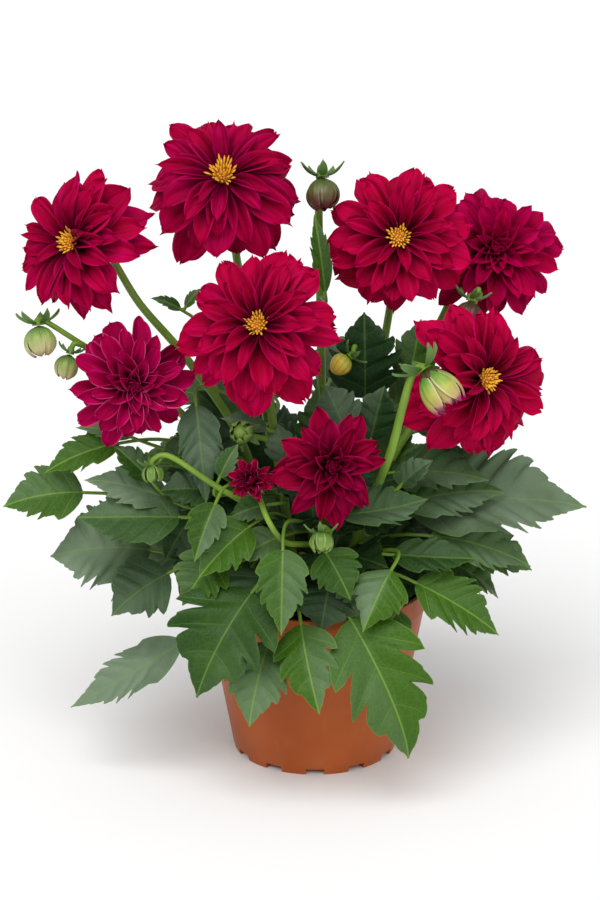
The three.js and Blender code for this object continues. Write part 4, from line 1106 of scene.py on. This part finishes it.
def bud_look(name, stops, line, crease_range=(0.0, 0.4, 0.75, 0.0)):
    """A bud's scales: coloured from base to tip, with a darker or paler line along each."""
    s = Shader(name, Roughness=0.42, Specular_IOR_Level=0.4, Subsurface_Weight=0.1, Subsurface_Scale=0.002,
               Subsurface_Radius=(0.8, 0.6, 0.3))
    along, rib, _ = s.notes("place")
    point = s.point()
    moved = s.plus(along, s.times(s.math("SUBTRACT", s.noise(point, 160.0, 3), 0.5), 0.35))
    colour = s.ramp(moved, stops)
    crease = s.range(s.math("ABSOLUTE", rib), *crease_range)
    s.set("Base Color", s.mix(crease, colour, line))
    s.bump(s.noise(point, 700.0, 2), 0.0002, 0.4)
    return s.material


def stamen_look():
    s = Shader("stamen", Roughness=0.6, Specular_IOR_Level=0.3)
    along, _, chance = s.notes("place")
    colour = s.ramp(along, STAMEN_STOPS)
    s.set("Base Color", s.mix(s.times(chance, 0.4), colour, (0.95, 0.62, 0.08)))
    s.bump(s.noise(s.point(), 2600.0, 2), 0.0002, 0.6)
    return s.material


def pot_look():
    """Satin plastic: an even burnt orange with faint rubbed streaks and dust near the foot."""
    s = Shader("pot", Specular_IOR_Level=0.2)
    point = s.point()
    x, y, z = s.node("ShaderNodeSeparateXYZ", {0: point}).outputs
    cloud = s.noise(point, 18.0, 4)
    drawn = s.combine(s.times(x, 60.0), s.times(y, 60.0), s.times(z, 6.0))
    streaks = s.noise(drawn, 3.0, 4)
    colour = s.mix(s.range(cloud, 0.3, 0.75), (0.34, 0.07, 0.013), (0.43, 0.098, 0.02))
    colour = s.mix(s.range(streaks, 0.55, 0.85, 0.0, 0.2), colour, (0.55, 0.17, 0.045))
    low = s.range(z, 0.0, 0.03, 0.35, 0.0)
    dust = s.times(low, s.range(s.noise(point, 90.0, 3), 0.4, 0.7))
    colour = s.mix(dust, colour, (0.3, 0.12, 0.06))
    s.set("Base Color", colour)
    s.set("Roughness", s.range(streaks, 0.3, 0.8, 0.38, 0.52))
    s.bump(s.plus(s.noise(point, 500.0, 2), s.times(streaks, 0.6)), 0.00025, 0.35)
    return s.material


def soil_look(name, dark, light):
    s = Shader(name, Roughness=0.95, Specular_IOR_Level=0.2)
    point = s.point()
    crumbs = s.noise(point, 320.0, 5, 0.7)
    s.set("Base Color", s.mix(s.range(crumbs, 0.35, 0.75), dark, light))
    s.bump(s.plus(crumbs, s.cells(point, 500.0)), 0.0012, 0.9)
    return s.material


# The petal ramp's first stops, near black at the root, are painted shade in the bloom's hollow.
ROOT_SHADE, CRIMSON, ROSE = (0.03, 0.0, 0.002), (0.21, 0.0, 0.012), (0.46, 0.0, 0.042)
PETAL_STOPS = [(0.0, ROOT_SHADE), (0.3, (0.1, 0.0, 0.006)), (0.6, (0.29, 0.0, 0.019)), (1.0, ROSE)]
UNDER_STOPS = [(0.0, CRIMSON), (0.5, (0.36, 0.0, 0.035)), (1.0, (0.5, 0.001, 0.075))]
OPENING_STOPS = [(0.0, (0.05, 0.14, 0.025)), (0.35, (0.16, 0.31, 0.035)), (0.62, (0.4, 0.43, 0.07)),
                 (0.82, (0.42, 0.3, 0.12)), (0.93, (0.3, 0.02, 0.13)), (1.0, (0.3, 0.01, 0.14))]
PALE_STOPS = [(0.0, (0.06, 0.15, 0.02)), (0.4, (0.22, 0.33, 0.07)), (0.75, (0.45, 0.4, 0.19)),
              (1.0, (0.3, 0.13, 0.08))]
YELLOW_STOPS = [(0.0, (0.2, 0.3, 0.03)), (0.45, (0.6, 0.48, 0.05)), (1.0, (0.7, 0.42, 0.05))]
DARK_STOPS = [(0.0, (0.05, 0.1, 0.012)), (0.45, (0.09, 0.09, 0.02)), (0.75, (0.08, 0.025, 0.012)),
              (1.0, (0.14, 0.006, 0.02))]
RED_STOPS = [(0.0, (0.04, 0.07, 0.01)), (0.3, (0.07, 0.02, 0.01)), (1.0, (0.15, 0.0, 0.02))]
GREEN_STOPS = [(0.0, (0.06, 0.13, 0.015)), (0.6, (0.11, 0.21, 0.025)), (1.0, (0.19, 0.3, 0.05))]
STAMEN_STOPS = [(0.0, (0.25, 0.06, 0.005)), (0.35, (0.75, 0.32, 0.02)), (0.7, (0.9, 0.5, 0.03)),
                (1.0, (0.85, 0.3, 0.02))]
LOOKS = {
    "petal": petal_look("petal", PETAL_STOPS, (0.56, 0.0, 0.065)),
    "petal_under": petal_look("petal_under", UNDER_STOPS, (0.6, 0.003, 0.14)),
    "leaf": leaf_look("leaf", (0.01, 0.034, 0.011), (0.038, 0.105, 0.006), (0.15, 0.28, 0.035), 0.38, 0.55),
    "leaf_under": leaf_look("leaf_under", (0.08, 0.14, 0.065), (0.13, 0.21, 0.09), (0.25, 0.36, 0.14),
                            0.6, 0.5),
    "stem": stem_look("stem", (0.07, 0.15, 0.015), (0.2, 0.34, 0.03)),
    "rib": stem_look("rib", (0.05, 0.12, 0.016), (0.11, 0.22, 0.03)),
    "bract": stem_look("bract", (0.05, 0.12, 0.02), (0.12, 0.22, 0.05), 0.5),
    "bud_green": bud_look("bud_green", GREEN_STOPS, (0.05, 0.12, 0.02)),
    "bud_scale": bud_look("bud_scale", GREEN_STOPS, (0.3, 0.4, 0.14), (0.65, 0.95, 0.0, 0.7)),
    "bud_pale": bud_look("bud_pale", PALE_STOPS, (0.5, 0.45, 0.2), (0.7, 0.97, 0.0, 0.6)),
    "bud_dark": bud_look("bud_dark", DARK_STOPS, (0.2, 0.15, 0.1), (0.7, 0.97, 0.0, 0.7)),
    "bud_red": bud_look("bud_red", RED_STOPS, (0.02, 0.02, 0.01)),
    "bud_opening": bud_look("bud_opening", OPENING_STOPS, (0.66, 0.46, 0.33), (0.72, 0.98, 0.0, 0.8)),
    "bud_yellow": bud_look("bud_yellow", YELLOW_STOPS, (0.3, 0.2, 0.03)),
    "stamen": stamen_look(),
    "pot": pot_look(),
    "soil": soil_look("soil", (0.008, 0.005, 0.003), (0.04, 0.025, 0.015)),
    "chip": soil_look("chip", (0.05, 0.025, 0.012), (0.12, 0.07, 0.035)),
}

# The object

pot()
soil()
for seed, shoot in enumerate(SHOOTS):
    foliage(shoot, seed)
for seed, bloom in enumerate(BLOOMS):
    place_at = placer(facing(bloom), bloom["at"])
    skin = Skin(["petal", "petal_under"])
    bloom_petals(skin, bloom, seed, place_at)
    piece("petals_" + bloom["name"], skin, ["bloom_" + bloom["name"]])
    if has_disc(bloom):
        skin = Skin(["stamen"])
        stamens(skin, bloom, seed, place_at)
        piece("stamens_" + bloom["name"], skin, ["florets_" + bloom["name"]])
for seed, bud in enumerate(b for b in BUDS if b["look"] != "bud_green"):
    place_at = placer(bud["way"], bud["at"])
    if bud["look"] == "bud_yellow":
        skin = Skin(["bud_yellow"])
        bud_body(skin, bud["radius"], bud["length"], place_at, "bud_yellow")
    else:
        skin = Skin(sorted({bud["look"], "bud_red"}))
        scaly_bud(skin, bud, place_at, np.random.default_rng(700 + seed))
    piece("closed_bud_" + bud["name"], skin, ["bud_" + bud["name"]])

# Floor, lights and camera

FLOOR_SIZE = 60
WORLD_STRENGTH = 0.58
CAMERA_AT = (-0.0092, -1.425, 0.649)
CAMERA_PITCH = 17.8
CAMERA_LENS = 99.1


def floor():
    mesh = bpy.data.meshes.new("floor")
    mesh.from_pydata([(i * FLOOR_SIZE, j * FLOOR_SIZE, 0) for i, j in SQUARE], [], [(0, 1, 2, 3)])
    look = Shader("floor", Base_Color=(0.9, 0.9, 0.9, 1), Roughness=0.8, Specular_IOR_Level=0.1)
    mesh.materials.append(look.material)
    made = linked("floor", mesh)


def sun(name, towards, softness, power):
    """A far soft light that shines from a direction, as wide as `softness` degrees."""
    light = bpy.data.lights.new(name, "SUN")
    light.angle = radians(softness)
    light.energy = power
    linked(name, light).rotation_euler = Vector(towards).to_track_quat("Z", "Y").to_euler()


def surroundings():
    world = bpy.data.worlds.new("studio")
    world.use_nodes = True
    background = world.node_tree.nodes["Background"]
    background.inputs[0].default_value = (1, 1, 1, 1)
    background.inputs[1].default_value = WORLD_STRENGTH
    bpy.context.scene.world = world
    bpy.context.scene.view_settings.view_transform = "Standard"


def camera():
    lens = bpy.data.cameras.new("camera")
    lens.lens = CAMERA_LENS
    lens.sensor_width = 36
    made = linked("camera", lens)
    made.location = CAMERA_AT
    made.rotation_euler = (radians(90 - CAMERA_PITCH), 0, 0)
    bpy.context.scene.camera = made


floor()
surroundings()
sun("key", (-0.28, -0.85, 1.2), softness=50, power=2.2)
sun("fill", (0.8, -0.9, 0.55), softness=40, power=0.45)
camera()
